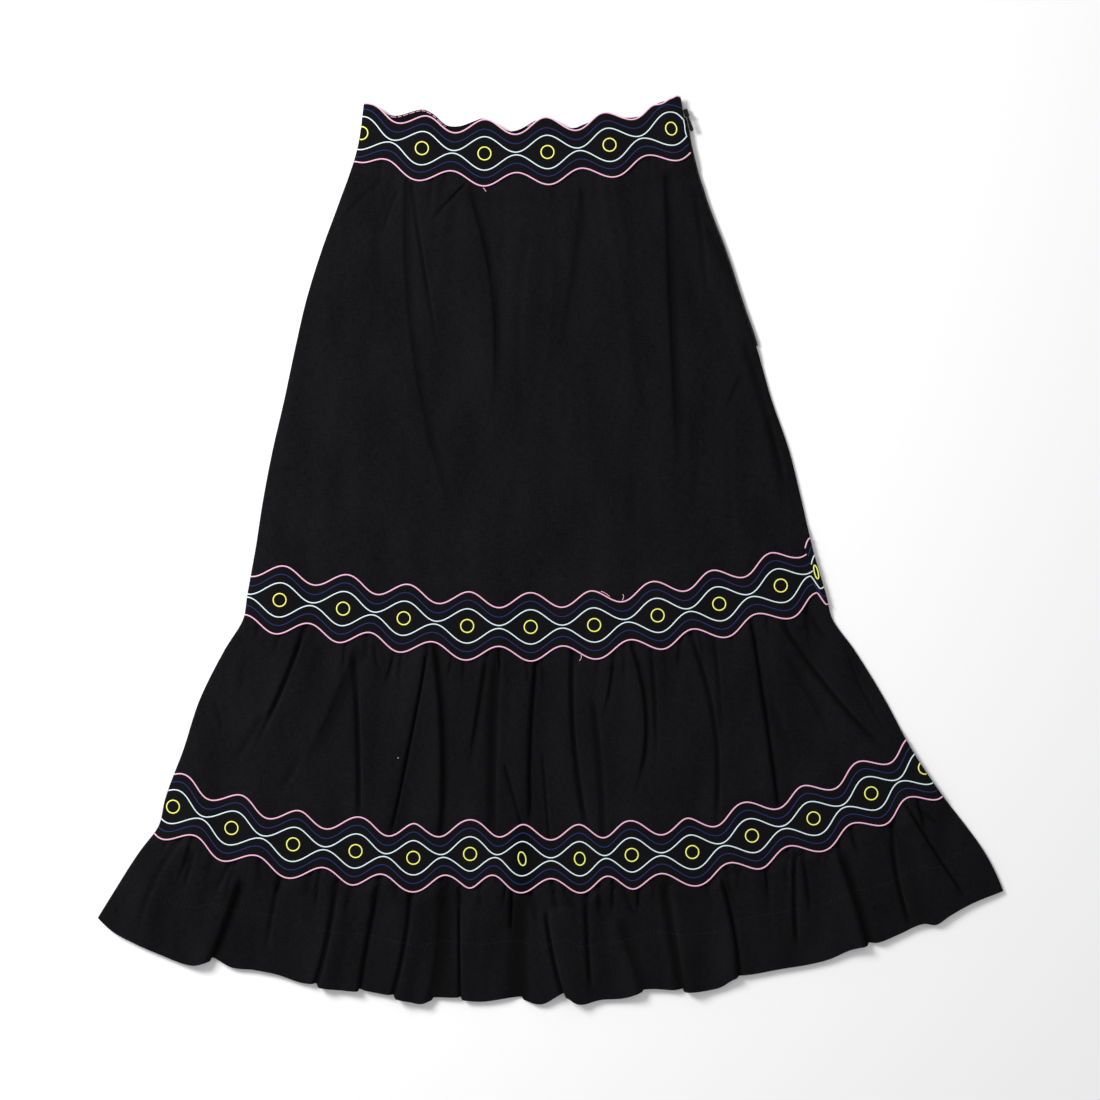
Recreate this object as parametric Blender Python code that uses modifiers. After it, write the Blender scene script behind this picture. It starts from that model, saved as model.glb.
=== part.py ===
"""Tiered pollera skirt with scalloped embroidered bands, laid flat with its front up.

The skirt is a closed tube of cloth pressed flat: its back lies on the surface, face down, and its
front lies on its back. +Y points to the waist, +X to the side with the zip, and +Z up. Tables and
named sizes are in millimetres, and every object is in metres.
"""
import math
from collections import namedtuple

import bmesh
import bpy
import numpy as np
from mathutils import Matrix

MM = 0.001

# Walls and clearances
CLOTH = 1.2          # cotton with its seam allowance, as one wall
BAND = 1.0           # an embroidered band that lies on a tier
WAIST_BAND = 1.6     # the waistband, which is stiffened and folded double
GAP = 0.3            # between pieces that are sewn together
BAND_GAP = 0.4       # between a band and the tier that it lies on
LOFT = 2.4           # how far the front stands off the back inside the tube
EDGE_ROUND = 18.0    # distance from the side over which the front rises to that
FOLD_EDGE = 14.0     # folds die out over this distance from the sides
PRESS_FLAT = 40.0    # a band presses its tiers flat within this distance of its middle
PRESS_END = 52.0     # and the cloth is free again from here on

# The skirt's side lines, a row per height, from the hem up
SideRow = namedtuple("SideRow", "y left right")
SIDES = [SideRow(*row) for row in (
    (-382, -472, 480),
    (-356, -456, 472),
    (-311, -427, 450),
    (-259, -402, 411),
    (-207, -383, 376),
    (-155, -366, 348),
    (-103, -340, 316),
    (-51, -317, 288),
    (1, -308, 273),
    (53, -300, 261),
    (105, -290, 248),
    (157, -278, 230),
    (209, -267, 215),
    (261, -255, 197),
    (313, -239, 180),
    (365, -220, 160),
    (417, -202, 145),
    (472, -194, 135),
)]

# The middle of each band, a row per embroidered ring, from the left side to the right
RingRow = namedtuple("RingRow", "ring x y")
WAIST_RINGS = [RingRow(*row) for row in (
    (0, -194, 434),
    (1, -134, 420),
    (2, -69, 414),
    (3, -4, 415),
    (4, 60, 423),
    (5, 125, 440),
)]
MID_RINGS = [RingRow(*row) for row in (
    (0, -282, -51),
    (1, -216, -60),
    (2, -153, -70),
    (3, -87, -78),
    (4, -21, -79),
    (5, 45, -77),
    (6, 111, -67),
    (7, 175, -55),
    (8, 239, -36),
)]
LOW_RINGS = [RingRow(*row) for row in (
    (0, -393, -266),
    (1, -332, -288),
    (2, -268, -305),
    (3, -203, -312),
    (4, -143, -319),
    (5, -84, -315),
    (6, -30, -320),
    (7, 30, -320),
    (8, 84, -316),
    (9, 147, -313),
    (10, 209, -296),
    (11, 273, -278),
    (12, 333, -252),
    (13, 384, -227),
)]

# Each band: its rings, where it starts and ends in ring steps, its mean half width, how far the
# scallops swing about that, and its wall
BandRow = namedtuple("BandRow", "rings start end half scallop wall")
BANDS = {
    "waist": BandRow(WAIST_RINGS, -0.1, 5.27, 26.8, 7.0, WAIST_BAND),
    "mid": BandRow(MID_RINGS, -0.48, 8.69, 28.0, 8.3, BAND),
    "low": BandRow(LOW_RINGS, -0.2, 13.05, 28.0, 8.3, BAND),
}

# The back of the waistband stands a little above the front's valleys, and its scallops are turned
# a little further round the skirt, in rings
BACK_WAIST_UP = 1.5
BACK_WAIST_TURN = 0.1

# The hem's edge, a row per wave or step
HemRow = namedtuple("HemRow", "x y")
HEM = [HemRow(*row) for row in (
    (-472, -382), (-459, -394), (-434, -408), (-409, -419), (-372, -431), (-347, -427),
    (-334, -433), (-309, -436), (-284, -441), (-259, -450), (-235, -455), (-185, -460),
    (-147, -469), (-135, -471), (-122, -467), (-72, -469), (-35, -466), (-10, -472),
    (15, -464), (28, -471), (53, -467), (77, -465), (102, -457), (140, -459), (165, -457),
    (177, -454), (190, -446), (215, -440), (240, -435), (265, -431), (290, -425), (315, -414),
    (340, -409), (365, -398), (389, -388), (402, -389), (414, -381), (439, -367), (472, -354),
)]
BACK_HEM_UP = 3.0    # the back's hem lies this far inside the front's

# The largest folds of each front tier: three points down the ridge, its height and width, and
# its lean, which makes the right side gentle and the left side steep, or the reverse
FoldRow = namedtuple("FoldRow", "x1 y1 x2 y2 x3 y3 height width lean")
FOLDS = {
    "upper": [FoldRow(*row) for row in (
        (-180, 382, -200, 364, -219, 345, 2.5, 10, 0.3),
        (-151, 379, -138, 224, -108, 42, 3.0, 16, -0.3),
        (-83, 375, -60, 235, -64, 100, 4.0, 14, 0.4),
        (-23, 320, -29, 281, -25, 181, 2.0, 14, 0.0),
        (16, 341, 12, 267, 8, 203, 2.0, 14, 0.0),
        (124, 398, 131, 288, 131, 105, 4.5, 14, -0.4),
        (175, 288, 179, 245, 190, 181, 3.5, 10, 0.4),
        (214, 155, 230, 60, 246, 3, 3.5, 10, 0.3),
    )],
    "middle": [FoldRow(*row) for row in (
        (-258, -85, -279, -143, -311, -207, 4.5, 14, 0.4),
        (-199, -101, -233, -186, -256, -232, 3.5, 14, -0.3),
        (-204, -110, -200, -191, -200, -284, 4.5, 11, 0.4),
        (-129, -95, -151, -219, -164, -290, 5.0, 11, -0.4),
        (-120, -95, -112, -186, -115, -295, 4.0, 10, 0.4),
        (-67, -100, -77, -177, -88, -260, 4.0, 13, -0.3),
        (-55, -100, -60, -219, -60, -280, 5.0, 13, 0.4),
        (-16, -100, -20, -163, -21, -280, 5.0, 12, -0.4),
        (23, -95, 23, -169, 37, -285, 5.0, 13, 0.4),
        (45, -140, 51, -219, 54, -292, 3.5, 10, 0.2),
        (85, -90, 98, -177, 85, -274, 4.0, 15, -0.3),
        (107, -90, 109, -163, 109, -250, 3.5, 11, 0.3),
        (146, -75, 167, -160, 168, -285, 4.0, 14, 0.3),
        (209, -65, 216, -124, 235, -275, 5.0, 13, -0.4),
        (244, -60, 300, -150, 357, -230, 5.0, 12, 0.4),
        (307, -75, 335, -163, 355, -205, 3.0, 10, 0.0),
    )],
    "hem": [FoldRow(*row) for row in (
        (-383, -300, -418, -347, -431, -410, 5.0, 12, 0.3),
        (-323, -320, -331, -372, -359, -450, 7.0, 15, -0.4),
        (-282, -330, -290, -377, -300, -450, 4.0, 14, 0.3),
        (-223, -335, -228, -385, -248, -470, 7.0, 13, 0.4),
        (-178, -340, -187, -385, -200, -480, 6.0, 12, -0.3),
        (-145, -340, -150, -400, -164, -480, 7.0, 12, 0.4),
        (-111, -340, -111, -385, -124, -480, 5.0, 14, -0.4),
        (-75, -345, -76, -400, -80, -480, 3.5, 14, 0.2),
        (-45, -340, -46, -400, -47, -480, 5.0, 11, 0.4),
        (-12, -340, -8, -413, 8, -480, 7.5, 13, -0.4),
        (37, -345, 39, -413, 43, -480, 7.0, 12, 0.4),
        (72, -345, 82, -400, 98, -470, 6.0, 14, -0.3),
        (118, -335, 129, -413, 138, -470, 7.0, 14, 0.4),
        (179, -325, 188, -385, 196, -455, 7.5, 13, -0.4),
        (220, -320, 225, -380, 230, -450, 3.5, 14, 0.2),
        (258, -305, 261, -360, 268, -440, 6.5, 12, 0.4),
        (302, -290, 316, -358, 332, -425, 7.0, 15, -0.4),
        (355, -270, 360, -330, 380, -405, 6.5, 12, 0.4),
        (380, -250, 405, -310, 440, -380, 5.5, 12, -0.3),
    )],
}
FOLD_FADE = 24.0     # a fold rises and dies out over this length at each end
HEM_FADE = 6.0       # and over this much along the hem, which cuts most folds off

# Small gathers along the top seam of a gathered tier: how many, how high and how far they run
GatherRow = namedtuple("GatherRow", "count height reach")
GATHERS = {
    "upper": GatherRow(9, 0.6, 60.0),
    "middle": GatherRow(21, 1.6, 70.0),
    "hem": GatherRow(26, 1.6, 60.0),
}
GATHER_WANDER = 0.35  # how unevenly the gathers are spaced, in gathers

# The grids that each tier is drawn on: columns on the front and back, and how far the rows are
# below the top edge and above the bottom edge, with the rest spread between
GridRow = namedtuple("GridRow", "front_columns back_columns near_top middle_rows near_bottom")
GRIDS = {
    "upper": GridRow(42, 24, (51, 63), 7, (53, 41)),
    "middle": GridRow(104, 48, (41, 53), 3, (53, 41)),
    "hem": GridRow(144, 48, (41, 53), 2, ()),
}
TIER_IN_WAISTBAND = 10.0  # the upper tier runs this far up inside the waistband
RING_COLUMNS = 6          # columns for each ring of a band

# Concealed zip in the right side seam
ZIP_TOP, ZIP_END = 451.0, 214.0
ZIP_ROOM = 1.5       # the front lies this much higher over the tape
TAPE_WIDTH, TAPE, TAPE_GAP = 16.0, 0.8, 0.5
TEETH_OUT = (0.3, 2.1)    # the closed teeth lie this far outside the cloth's edge
TEETH_UP = (-0.6, 1.4)    # and this far below and above the tape's lower face
ZIP_STATIONS = 34
ZIP_RIPPLE, ZIP_RIPPLE_STEPS = 0.5, 4
SLIDER_SIZE = (4.4, 8.0, 2.6)
SLIDER_Y = 456.2
SLIDER_OFF_EDGE = 0.9
SLIDER_LEAN = math.radians(17)
EAR_SIZE = (0.8, 2.6, 3.6)
EAR_APART = 3.4      # between the middles of the two ears
EAR_SUNK = 0.8       # how far the ears reach into the rounded body
PIN_ABOVE = 1.5      # the pull's pin above the slider
SLIDER_ROUNDING = 0.7
PULL_REACH, PULL_THICK = 15.5, 1.2   # from the pin to the middle of the teardrop's round end
PULL_NECK, PULL_ROUND = 0.8, 2.1     # radii of its narrow and its round end
PIN_RADIUS, PIN_LENGTH = 1.0, 2.0
ROUND_STEPS = 12

CLOTH_BLACK, BAND_BLACK, ZIP_BLACK = "161617", "18181C", "101012"


def linear_colour(hex_code):
    """The linear colour of an sRGB hex code."""
    parts = [int(hex_code[i:i + 2], 16) / 255 for i in (0, 2, 4)]
    return [c / 12.92 if c <= 0.04045 else ((c + 0.055) / 1.055) ** 2.4 for c in parts] + [1.0]


def material(name, hex_code, roughness, metallic=0.0):
    made = bpy.data.materials.new(name)
    made.use_nodes = True
    shader = made.node_tree.nodes["Principled BSDF"]
    shader.inputs["Base Color"].default_value = linear_colour(hex_code)
    shader.inputs["Roughness"].default_value = roughness
    shader.inputs["Metallic"].default_value = metallic
    return made


def smooth_step(value):
    value = np.clip(value, 0.0, 1.0)
    return value * value * (3 - 2 * value)


def smooth_curve(knots, values, at):
    """Values on a smooth curve through the knots, which runs straight on past both ends."""
    knots, values, at = (np.asarray(a, float) for a in (knots, values, at))
    slopes = np.gradient(values, knots)
    inside = np.clip(at, knots[0], knots[-1])
    i = np.clip(np.searchsorted(knots, inside, side="right") - 1, 0, len(knots) - 2)
    span = knots[i + 1] - knots[i]
    f = (inside - knots[i]) / span
    value = values[i] + (values[i + 1] - values[i]) * f * f * (3 - 2 * f)
    value = value + span * (slopes[i] * f * (1 - f) ** 2 - slopes[i + 1] * f * f * (1 - f))
    beyond = at - inside
    return value + beyond * np.where(beyond < 0, slopes[0], slopes[-1])


def column(rows, name):
    return [getattr(row, name) for row in rows]


def side_lines(y):
    """The x of the left and right side lines at each y."""
    heights = column(SIDES, "y")
    return (smooth_curve(heights, column(SIDES, "left"), y),
            smooth_curve(heights, column(SIDES, "right"), y))


def band_middle(band, ring):
    """Points on a band's middle at these ring steps."""
    steps = column(band.rings, "ring")
    return (smooth_curve(steps, column(band.rings, "x"), ring),
            smooth_curve(steps, column(band.rings, "y"), ring))


def pressed_by(band, x, y):
    """1 where a band presses the cloth flat, fading to 0 away from it."""
    xs, ys = band_middle(band, np.linspace(band.start - 1, band.end + 1, 200))
    slant = np.interp(x, xs, np.gradient(ys, xs))
    away = np.abs(y - np.interp(x, xs, ys)) / np.hypot(1, slant)
    return 1 - smooth_step((away - PRESS_FLAT) / (PRESS_END - PRESS_FLAT))


def back_height(x, y):
    """The lower face of the back's tiers: on the surface, but over the bands that lie under them."""
    rise = [pressed_by(band, x, y) * (band.wall + GAP) for band in BANDS.values()]
    return np.max(rise, axis=0)


def zip_room(x, y):
    """How much the front is raised over the zip's tape."""
    right = side_lines(y)[1]
    across = 1 - smooth_step((right - x - TAPE_WIDTH - 2) / 10)
    return ZIP_ROOM * across * smooth_step((y - ZIP_END + 24) / 20)


def front_height(x, y):
    """The lower face of the front's tiers where no fold lifts them."""
    left, right = side_lines(y)
    edge = np.clip(np.minimum(x - left, right - x), 0, None)
    lift = LOFT * (1 - np.exp(-edge / EDGE_ROUND))
    return back_height(x, y) + CLOTH + GAP + lift + zip_room(x, y)


def fold_height(tier, x, y):
    """All the folds of a tier together."""
    total = np.zeros_like(x)
    end_fade = HEM_FADE if tier == "hem" else FOLD_FADE
    for fold in FOLDS[tier]:
        downs = (-fold.y1, -fold.y2, -fold.y3)
        ridge = smooth_curve(downs, (fold.x1, fold.x2, fold.x3), -y)
        slope = (fold.x3 - fold.x1) / (fold.y3 - fold.y1)
        off = (x - ridge) / math.hypot(1, slope)
        width = fold.width * np.where(off > 0, 1 + 0.5 * fold.lean, 1 - 0.5 * fold.lean)
        along = smooth_step((fold.y1 - y) / FOLD_FADE + 0.5) * smooth_step((y - fold.y3) / end_fade + 0.5)
        total += fold.height * np.exp(-(off / width) ** 2) * along
    return total


def gather_height(tier, across, below_seam):
    """Small uneven waves below a gathered seam."""
    row = GATHERS[tier]
    wander = GATHER_WANDER * (np.sin(17.0 * across) + np.sin(41.0 * across + 1.0))
    wave = 0.5 - 0.5 * np.cos(2 * math.pi * (row.count * across + wander))
    return row.height * wave * np.exp(-below_seam / row.reach)


def seam_line(name, across, shift):
    """Points on the seam under a band, moved up by shift."""
    band = BANDS[name]
    x, y = band_middle(band, band.start + (band.end - band.start) * across)
    return x, y + shift


def hem_line(across, shift):
    x = HEM[0].x + (HEM[-1].x - HEM[0].x) * across
    return x, smooth_curve(column(HEM, "x"), column(HEM, "y"), x) + shift


def tier_edges(tier, across, back):
    """The top and bottom edges of a tier."""
    if tier == "upper":
        return seam_line("waist", across, TIER_IN_WAISTBAND), seam_line("mid", across, GAP / 2)
    if tier == "middle":
        return seam_line("mid", across, -GAP / 2), seam_line("low", across, GAP / 2)
    return seam_line("low", across, -GAP / 2), hem_line(across, BACK_HEM_UP if back else 0.0)


def tier_rows(tier, across, back):
    """How far down the tier each row of its grid lies at these places across, from 0 to 1."""
    grid = GRIDS[tier]
    (top_x, top_y), (low_x, low_y) = tier_edges(tier, across, back)
    length = np.hypot(top_x - low_x, top_y - low_y)
    first = [0 * length] + [d / length for d in grid.near_top]
    last = [1 - d / length for d in grid.near_bottom] + [0 * length + 1]
    between = np.linspace(first[-1], last[0], grid.middle_rows + 2)[1:-1]
    return np.vstack([first, between, last])


def tier_points(tier, across, down, back):
    """Points across and down a tier, between its seams and the skirt's side lines."""
    (top_x, top_y), (low_x, low_y) = tier_edges(tier, across, back)
    (end_top_x, end_top_y), (end_low_x, end_low_y) = tier_edges(tier, np.array([0.0, 1.0]), back)
    x = top_x * (1 - down) + low_x * down
    y = top_y * (1 - down) + low_y * down
    sides = side_lines(np.array([end_top_y[i] * (1 - down) + end_low_y[i] * down for i in (0, 1)]))
    for i, share in ((0, 1 - across), (1, across)):
        straight = end_top_x[i] * (1 - down) + end_low_x[i] * down
        x = x + share * (sides[i][i] - straight)
    return x, y


def collection_for(name):
    made = bpy.data.collections.new(name)
    bpy.context.scene.collection.children.link(made)
    return made


def add_object(name, mesh, finish, collection):
    obj = bpy.data.objects.new(name, mesh)
    mesh.materials.append(finish)
    collection.objects.link(obj)
    return obj


def wall_from_grid(name, x, y, z, wall, finish, collection):
    """A cloth wall: a grid moved to these points, in rows of columns, and extruded straight up."""
    rows, columns = x.shape
    bm = bmesh.new()
    bmesh.ops.create_grid(bm, x_segments=columns - 1, y_segments=rows - 1, size=1.0)
    for vert in bm.verts:
        i = round((vert.co.x + 1) / 2 * (columns - 1))
        j = round((1 - vert.co.y) / 2 * (rows - 1))
        vert.co = (x[j, i] * MM, y[j, i] * MM, z[j, i] * MM)
    made = bmesh.ops.extrude_face_region(bm, geom=bm.faces[:], use_keep_orig=True)
    upper = [item for item in made["geom"] if isinstance(item, bmesh.types.BMVert)]
    bmesh.ops.translate(bm, verts=upper, vec=(0, 0, wall * MM))
    bmesh.ops.recalc_face_normals(bm, faces=bm.faces[:])
    mesh = bpy.data.meshes.new(name)
    bm.to_mesh(mesh)
    bm.free()
    mesh.shade_smooth()
    mesh.set_sharp_from_angle(angle=math.radians(50))
    return add_object(name, mesh, finish, collection)


def make_tier(tier, back, finish, collection):
    """One tier's front or back panel."""
    grid = GRIDS[tier]
    columns = grid.back_columns if back else grid.front_columns
    down = tier_rows(tier, np.linspace(0, 1, columns + 1), back)
    across = np.linspace(0, 1, columns + 1) + 0 * down
    x, y = tier_points(tier, across, down, back)
    if back:
        z = back_height(x, y)
    else:
        z = front_height(x, y) + free_folds(tier, x, y, across, down)
    name = f"{tier}_tier_{'back' if back else 'front'}"
    return wall_from_grid(name, x, y, z, CLOTH, finish, collection)


def free_folds(tier, x, y, across, down):
    """Folds and gathers, which stop where a band presses the cloth flat and at the side edges."""
    left, right = side_lines(y)
    edge = smooth_step(np.minimum(x - left, right - x) / FOLD_EDGE)
    pressed = np.max([pressed_by(band, x, y) for band in BANDS.values()], axis=0)
    (_, top_y), _ = tier_edges(tier, across, False)
    gathers = gather_height(tier, across, np.clip(top_y - y - PRESS_END, 0, None))
    return (fold_height(tier, x, y) + gathers) * (1 - pressed) * edge


def make_band(name, back, finish, collection):
    """A scalloped band, over the front or under the back, cut off at the side lines."""
    band = BANDS[name]
    count = math.ceil((band.end - band.start) * RING_COLUMNS)
    ring, side = np.meshgrid(np.linspace(band.start, band.end, count + 1), (1.0, 0.0, -1.0))
    x, y = band_middle(band, ring)
    ahead_x, ahead_y = band_middle(band, ring + 0.01)
    length = np.hypot(ahead_x - x, ahead_y - y)
    turned = back and name == "waist"
    scallops = np.cos(2 * math.pi * (ring + (BACK_WAIST_TURN if turned else 0.0)))
    half = side * (band.half + band.scallop * scallops)
    x, y = x - half * (ahead_y - y) / length, y + half * (ahead_x - x) / length
    if turned:
        y = y + BACK_WAIST_UP
    x[:, 0], x[:, -1] = side_lines(y[:, 0])[0], side_lines(y[:, -1])[1]
    z = np.zeros_like(x) if back else front_height(x, y) + CLOTH + BAND_GAP
    full_name = f"{'waistband' if name == 'waist' else name + '_band'}_{'back' if back else 'front'}"
    return wall_from_grid(full_name, x, y, z, band.wall, finish, collection)


def zip_edge(y):
    """The x of the upper tier's right edge, and the tape's lower face there and at its inner side."""
    down = tier_rows("upper", np.array([1.0]), True)
    edge_x, edge_y = tier_points("upper", np.ones_like(down), down, True)
    places = [float(np.interp(y, edge_y[::-1, 0], edge_x[::-1, 0]))]
    for inward in (0.0, TAPE_WIDTH):
        heights = back_height(edge_x - inward, edge_y) + CLOTH + TAPE_GAP
        places.append(float(np.interp(y, edge_y[::-1, 0], heights[::-1, 0])))
    return places


def make_zip_tape(finish, collection):
    """The tape with its closed teeth, as one section led down the side seam."""
    outline = (
        (-TAPE_WIDTH, 0.0), (TEETH_OUT[0], 0.0), (TEETH_OUT[0], TEETH_UP[0]),
        (TEETH_OUT[1], TEETH_UP[0]), (TEETH_OUT[1], TEETH_UP[1]), (TEETH_OUT[0], TEETH_UP[1]),
        (TEETH_OUT[0], TAPE), (-TAPE_WIDTH, TAPE),
    )
    heights = np.linspace(ZIP_TOP, ZIP_END, ZIP_STATIONS)
    bm = bmesh.new()
    sections = []
    for n, y in enumerate(heights):
        right, outer_low, inner_low = zip_edge(y)
        ripple = ZIP_RIPPLE * (0.5 - 0.5 * math.cos(2 * math.pi * n / ZIP_RIPPLE_STEPS))
        section = []
        for out, up in outline:
            x = right + out + (ripple if out == TEETH_OUT[1] else 0)
            low = inner_low if out < 0 else outer_low
            section.append(bm.verts.new((x * MM, y * MM, (low + up) * MM)))
        sections.append(section)
    for one, other in zip(sections, sections[1:]):
        for a in range(len(outline)):
            b = (a + 1) % len(outline)
            bm.faces.new((one[a], one[b], other[b], other[a]))
    bm.faces.new(sections[0])
    bm.faces.new(sections[-1])
    bmesh.ops.recalc_face_normals(bm, faces=bm.faces[:])
    mesh = bpy.data.meshes.new("zip_tape")
    bm.to_mesh(mesh)
    bm.free()
    return add_object("zip_tape", mesh, finish, collection)


def slider_place():
    """The slider's middle, beside the waistband's edge at the level of the tape."""
    edge = float(side_lines(SLIDER_Y)[1])
    level = zip_edge(ZIP_TOP)[1] + TAPE / 2
    return edge + SLIDER_OFF_EDGE + SLIDER_SIZE[0] / 2, SLIDER_Y, level


def slider_matrix():
    x, y, z = slider_place()
    return Matrix.Translation((x * MM, y * MM, z * MM)) @ Matrix.Rotation(SLIDER_LEAN, 4, "Z")


def pin_place():
    """The pull's pin from the slider's middle: over its lower end."""
    return 0.0, -SLIDER_SIZE[1] / 2 + EAR_SIZE[1] / 2, SLIDER_SIZE[2] / 2 + PIN_ABOVE


def box_mesh(size, middle):
    """A box of this size about this middle, both in millimetres."""
    bm = bmesh.new()
    place = Matrix.Translation([c * MM for c in middle]) @ Matrix.Diagonal([s * MM for s in size] + [1.0])
    bmesh.ops.create_cube(bm, size=1.0, matrix=place)
    return bm


def helper_object(name, bm, cutters):
    """An object that is only joined to another and never shown."""
    mesh = bpy.data.meshes.new(name)
    bm.to_mesh(mesh)
    bm.free()
    obj = bpy.data.objects.new(name, mesh)
    obj.hide_render = True
    obj.display_type = "WIRE"
    cutters.objects.link(obj)
    return obj


def join_with(body, other):
    joined = body.modifiers.new(other.name, "BOOLEAN")
    joined.operation = "UNION"
    joined.solver = "EXACT"
    joined.object = other


def make_slider(finish, collection, cutters):
    """The slider's rounded body with two ears that hold the pull's pin."""
    bm = box_mesh(SLIDER_SIZE, (0, 0, 0))
    mesh = bpy.data.meshes.new("zip_slider")
    bm.to_mesh(mesh)
    bm.free()
    body = add_object("zip_slider", mesh, finish, collection)
    rounded = body.modifiers.new("rounded", "BEVEL")
    rounded.width = SLIDER_ROUNDING * MM
    rounded.segments = 3
    _, pin_y, _ = pin_place()
    ear_up = (SLIDER_SIZE[2] + EAR_SIZE[2]) / 2 - EAR_SUNK
    for side in (-1, 1):
        ear = helper_object("ear", box_mesh(EAR_SIZE, (side * EAR_APART / 2, pin_y, ear_up)), cutters)
        ear.matrix_world = slider_matrix()
        join_with(body, ear)
    body.matrix_world = slider_matrix()
    return body


def teardrop_outline():
    """Points round a small circle at the pin and a larger one at the free end, with straight sides."""
    lean = math.asin((PULL_ROUND - PULL_NECK) / PULL_REACH)
    points = []
    for radius, middle, first, last in (
        (PULL_NECK, 0.0, -lean, math.pi + lean),
        (PULL_ROUND, -PULL_REACH, math.pi + lean, 2 * math.pi - lean),
    ):
        for n in range(ROUND_STEPS + 1):
            angle = first + (last - first) * n / ROUND_STEPS
            points.append((radius * math.cos(angle), middle + radius * math.sin(angle)))
    return points


def make_pull(finish, collection, cutters):
    """The teardrop pull and the round pin it turns on, at rest down the seam; its origin is the pin."""
    bm = bmesh.new()
    face = bm.faces.new([bm.verts.new((x * MM, y * MM, -PULL_THICK / 2 * MM)) for x, y in teardrop_outline()])
    made = bmesh.ops.extrude_face_region(bm, geom=[face], use_keep_orig=True)
    upper = [item for item in made["geom"] if isinstance(item, bmesh.types.BMVert)]
    bmesh.ops.translate(bm, verts=upper, vec=(0, 0, PULL_THICK * MM))
    bmesh.ops.recalc_face_normals(bm, faces=bm.faces[:])
    mesh = bpy.data.meshes.new("zip_pull")
    bm.to_mesh(mesh)
    bm.free()
    pull = add_object("zip_pull", mesh, finish, collection)

    bm = bmesh.new()
    bmesh.ops.create_cone(
        bm, cap_ends=True, segments=ROUND_STEPS, radius1=PIN_RADIUS * MM, radius2=PIN_RADIUS * MM,
        depth=PIN_LENGTH * MM, matrix=Matrix.Rotation(math.pi / 2, 4, "Y"),
    )
    pin = helper_object("pin", bm, cutters)
    join_with(pull, pin)
    for obj in (pull, pin):
        obj.matrix_world = slider_matrix() @ Matrix.Translation([c * MM for c in pin_place()])
    return pull


def centre_on_origin(objects):
    """Moves everything so that the skirt's box is centred over the origin, and returns the move."""
    bpy.context.view_layer.update()
    points = np.array([
        obj.matrix_world @ vert.co for obj in objects for vert in obj.data.vertices
    ])
    middle = (points.min(axis=0) + points.max(axis=0)) / 2
    move = Matrix.Translation((-middle[0], -middle[1], -points[:, 2].min()))
    for obj in objects:
        obj.matrix_world = move @ obj.matrix_world
    return move


def main():
    for obj in list(bpy.data.objects):
        bpy.data.objects.remove(obj)
    parts, cutters = collection_for("pollera_skirt"), collection_for("cutters")
    cloth = material("black_cotton", CLOTH_BLACK, 0.9)
    band_cloth = material("black_embroidered_cotton", BAND_BLACK, 0.85)
    zip_cloth = material("black_zip_tape", ZIP_BLACK, 0.8)
    zip_metal = material("black_lacquered_zip", ZIP_BLACK, 0.35, 0.6)
    for back in (True, False):
        for tier in GRIDS:
            make_tier(tier, back, cloth, parts)
        for name in BANDS:
            make_band(name, back, band_cloth, parts)
    make_zip_tape(zip_cloth, parts)
    make_slider(zip_metal, parts, cutters)
    pull = make_pull(zip_metal, parts, cutters)
    centre_on_origin(list(parts.objects) + list(cutters.objects))
    bpy.context.view_layer.update()
    print("pull's pin at", [round(c, 5) for c in pull.matrix_world.translation])
    print("pull's axis", [round(c, 5) for c in pull.matrix_world.to_3x3().col[0]])


main()
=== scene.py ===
# %% [markdown]
# A pollera is a full tiered skirt. This one is of black cotton poplin, with three scalloped bands of
# stitched waves and rings, and it lies flat with its front up: a closed tube of cloth, its back on
# the table and its front on its back. The imported frame gives its real size and place. Each cloth
# piece here is a thin shell on the form of its solid, with the finer creases put in one by one.

# %% The frame
import math
from collections import namedtuple

import bmesh
import bpy
import numpy as np
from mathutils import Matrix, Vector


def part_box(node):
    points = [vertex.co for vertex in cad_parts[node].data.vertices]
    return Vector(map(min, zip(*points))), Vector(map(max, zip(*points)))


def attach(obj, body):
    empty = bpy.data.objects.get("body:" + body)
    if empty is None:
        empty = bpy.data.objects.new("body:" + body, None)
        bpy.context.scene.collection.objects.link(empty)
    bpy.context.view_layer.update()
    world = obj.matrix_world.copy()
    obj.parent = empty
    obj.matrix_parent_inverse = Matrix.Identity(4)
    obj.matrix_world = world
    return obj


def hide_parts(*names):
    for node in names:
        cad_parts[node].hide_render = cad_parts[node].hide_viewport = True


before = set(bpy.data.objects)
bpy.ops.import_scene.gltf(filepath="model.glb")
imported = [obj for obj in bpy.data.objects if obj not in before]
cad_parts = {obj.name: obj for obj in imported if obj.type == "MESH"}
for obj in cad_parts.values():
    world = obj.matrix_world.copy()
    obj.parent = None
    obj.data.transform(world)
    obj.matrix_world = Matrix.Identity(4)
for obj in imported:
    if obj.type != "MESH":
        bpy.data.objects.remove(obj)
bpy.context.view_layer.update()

bpy.ops.object.select_all(action="DESELECT")

# %% [markdown]
# All sizes below are millimetres, as a pattern cutter writes them, and MM turns them into Blender's
# metres. Two small helpers do most of the drawing. A smooth step eases from 0 to 1. A smooth curve
# runs through a short table of points, so that an outline needs only the points where it turns.

# %% Units and curves
MM = 0.001


def smooth_step(value):
    value = np.clip(value, 0.0, 1.0)
    return value * value * (3 - 2 * value)


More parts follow.
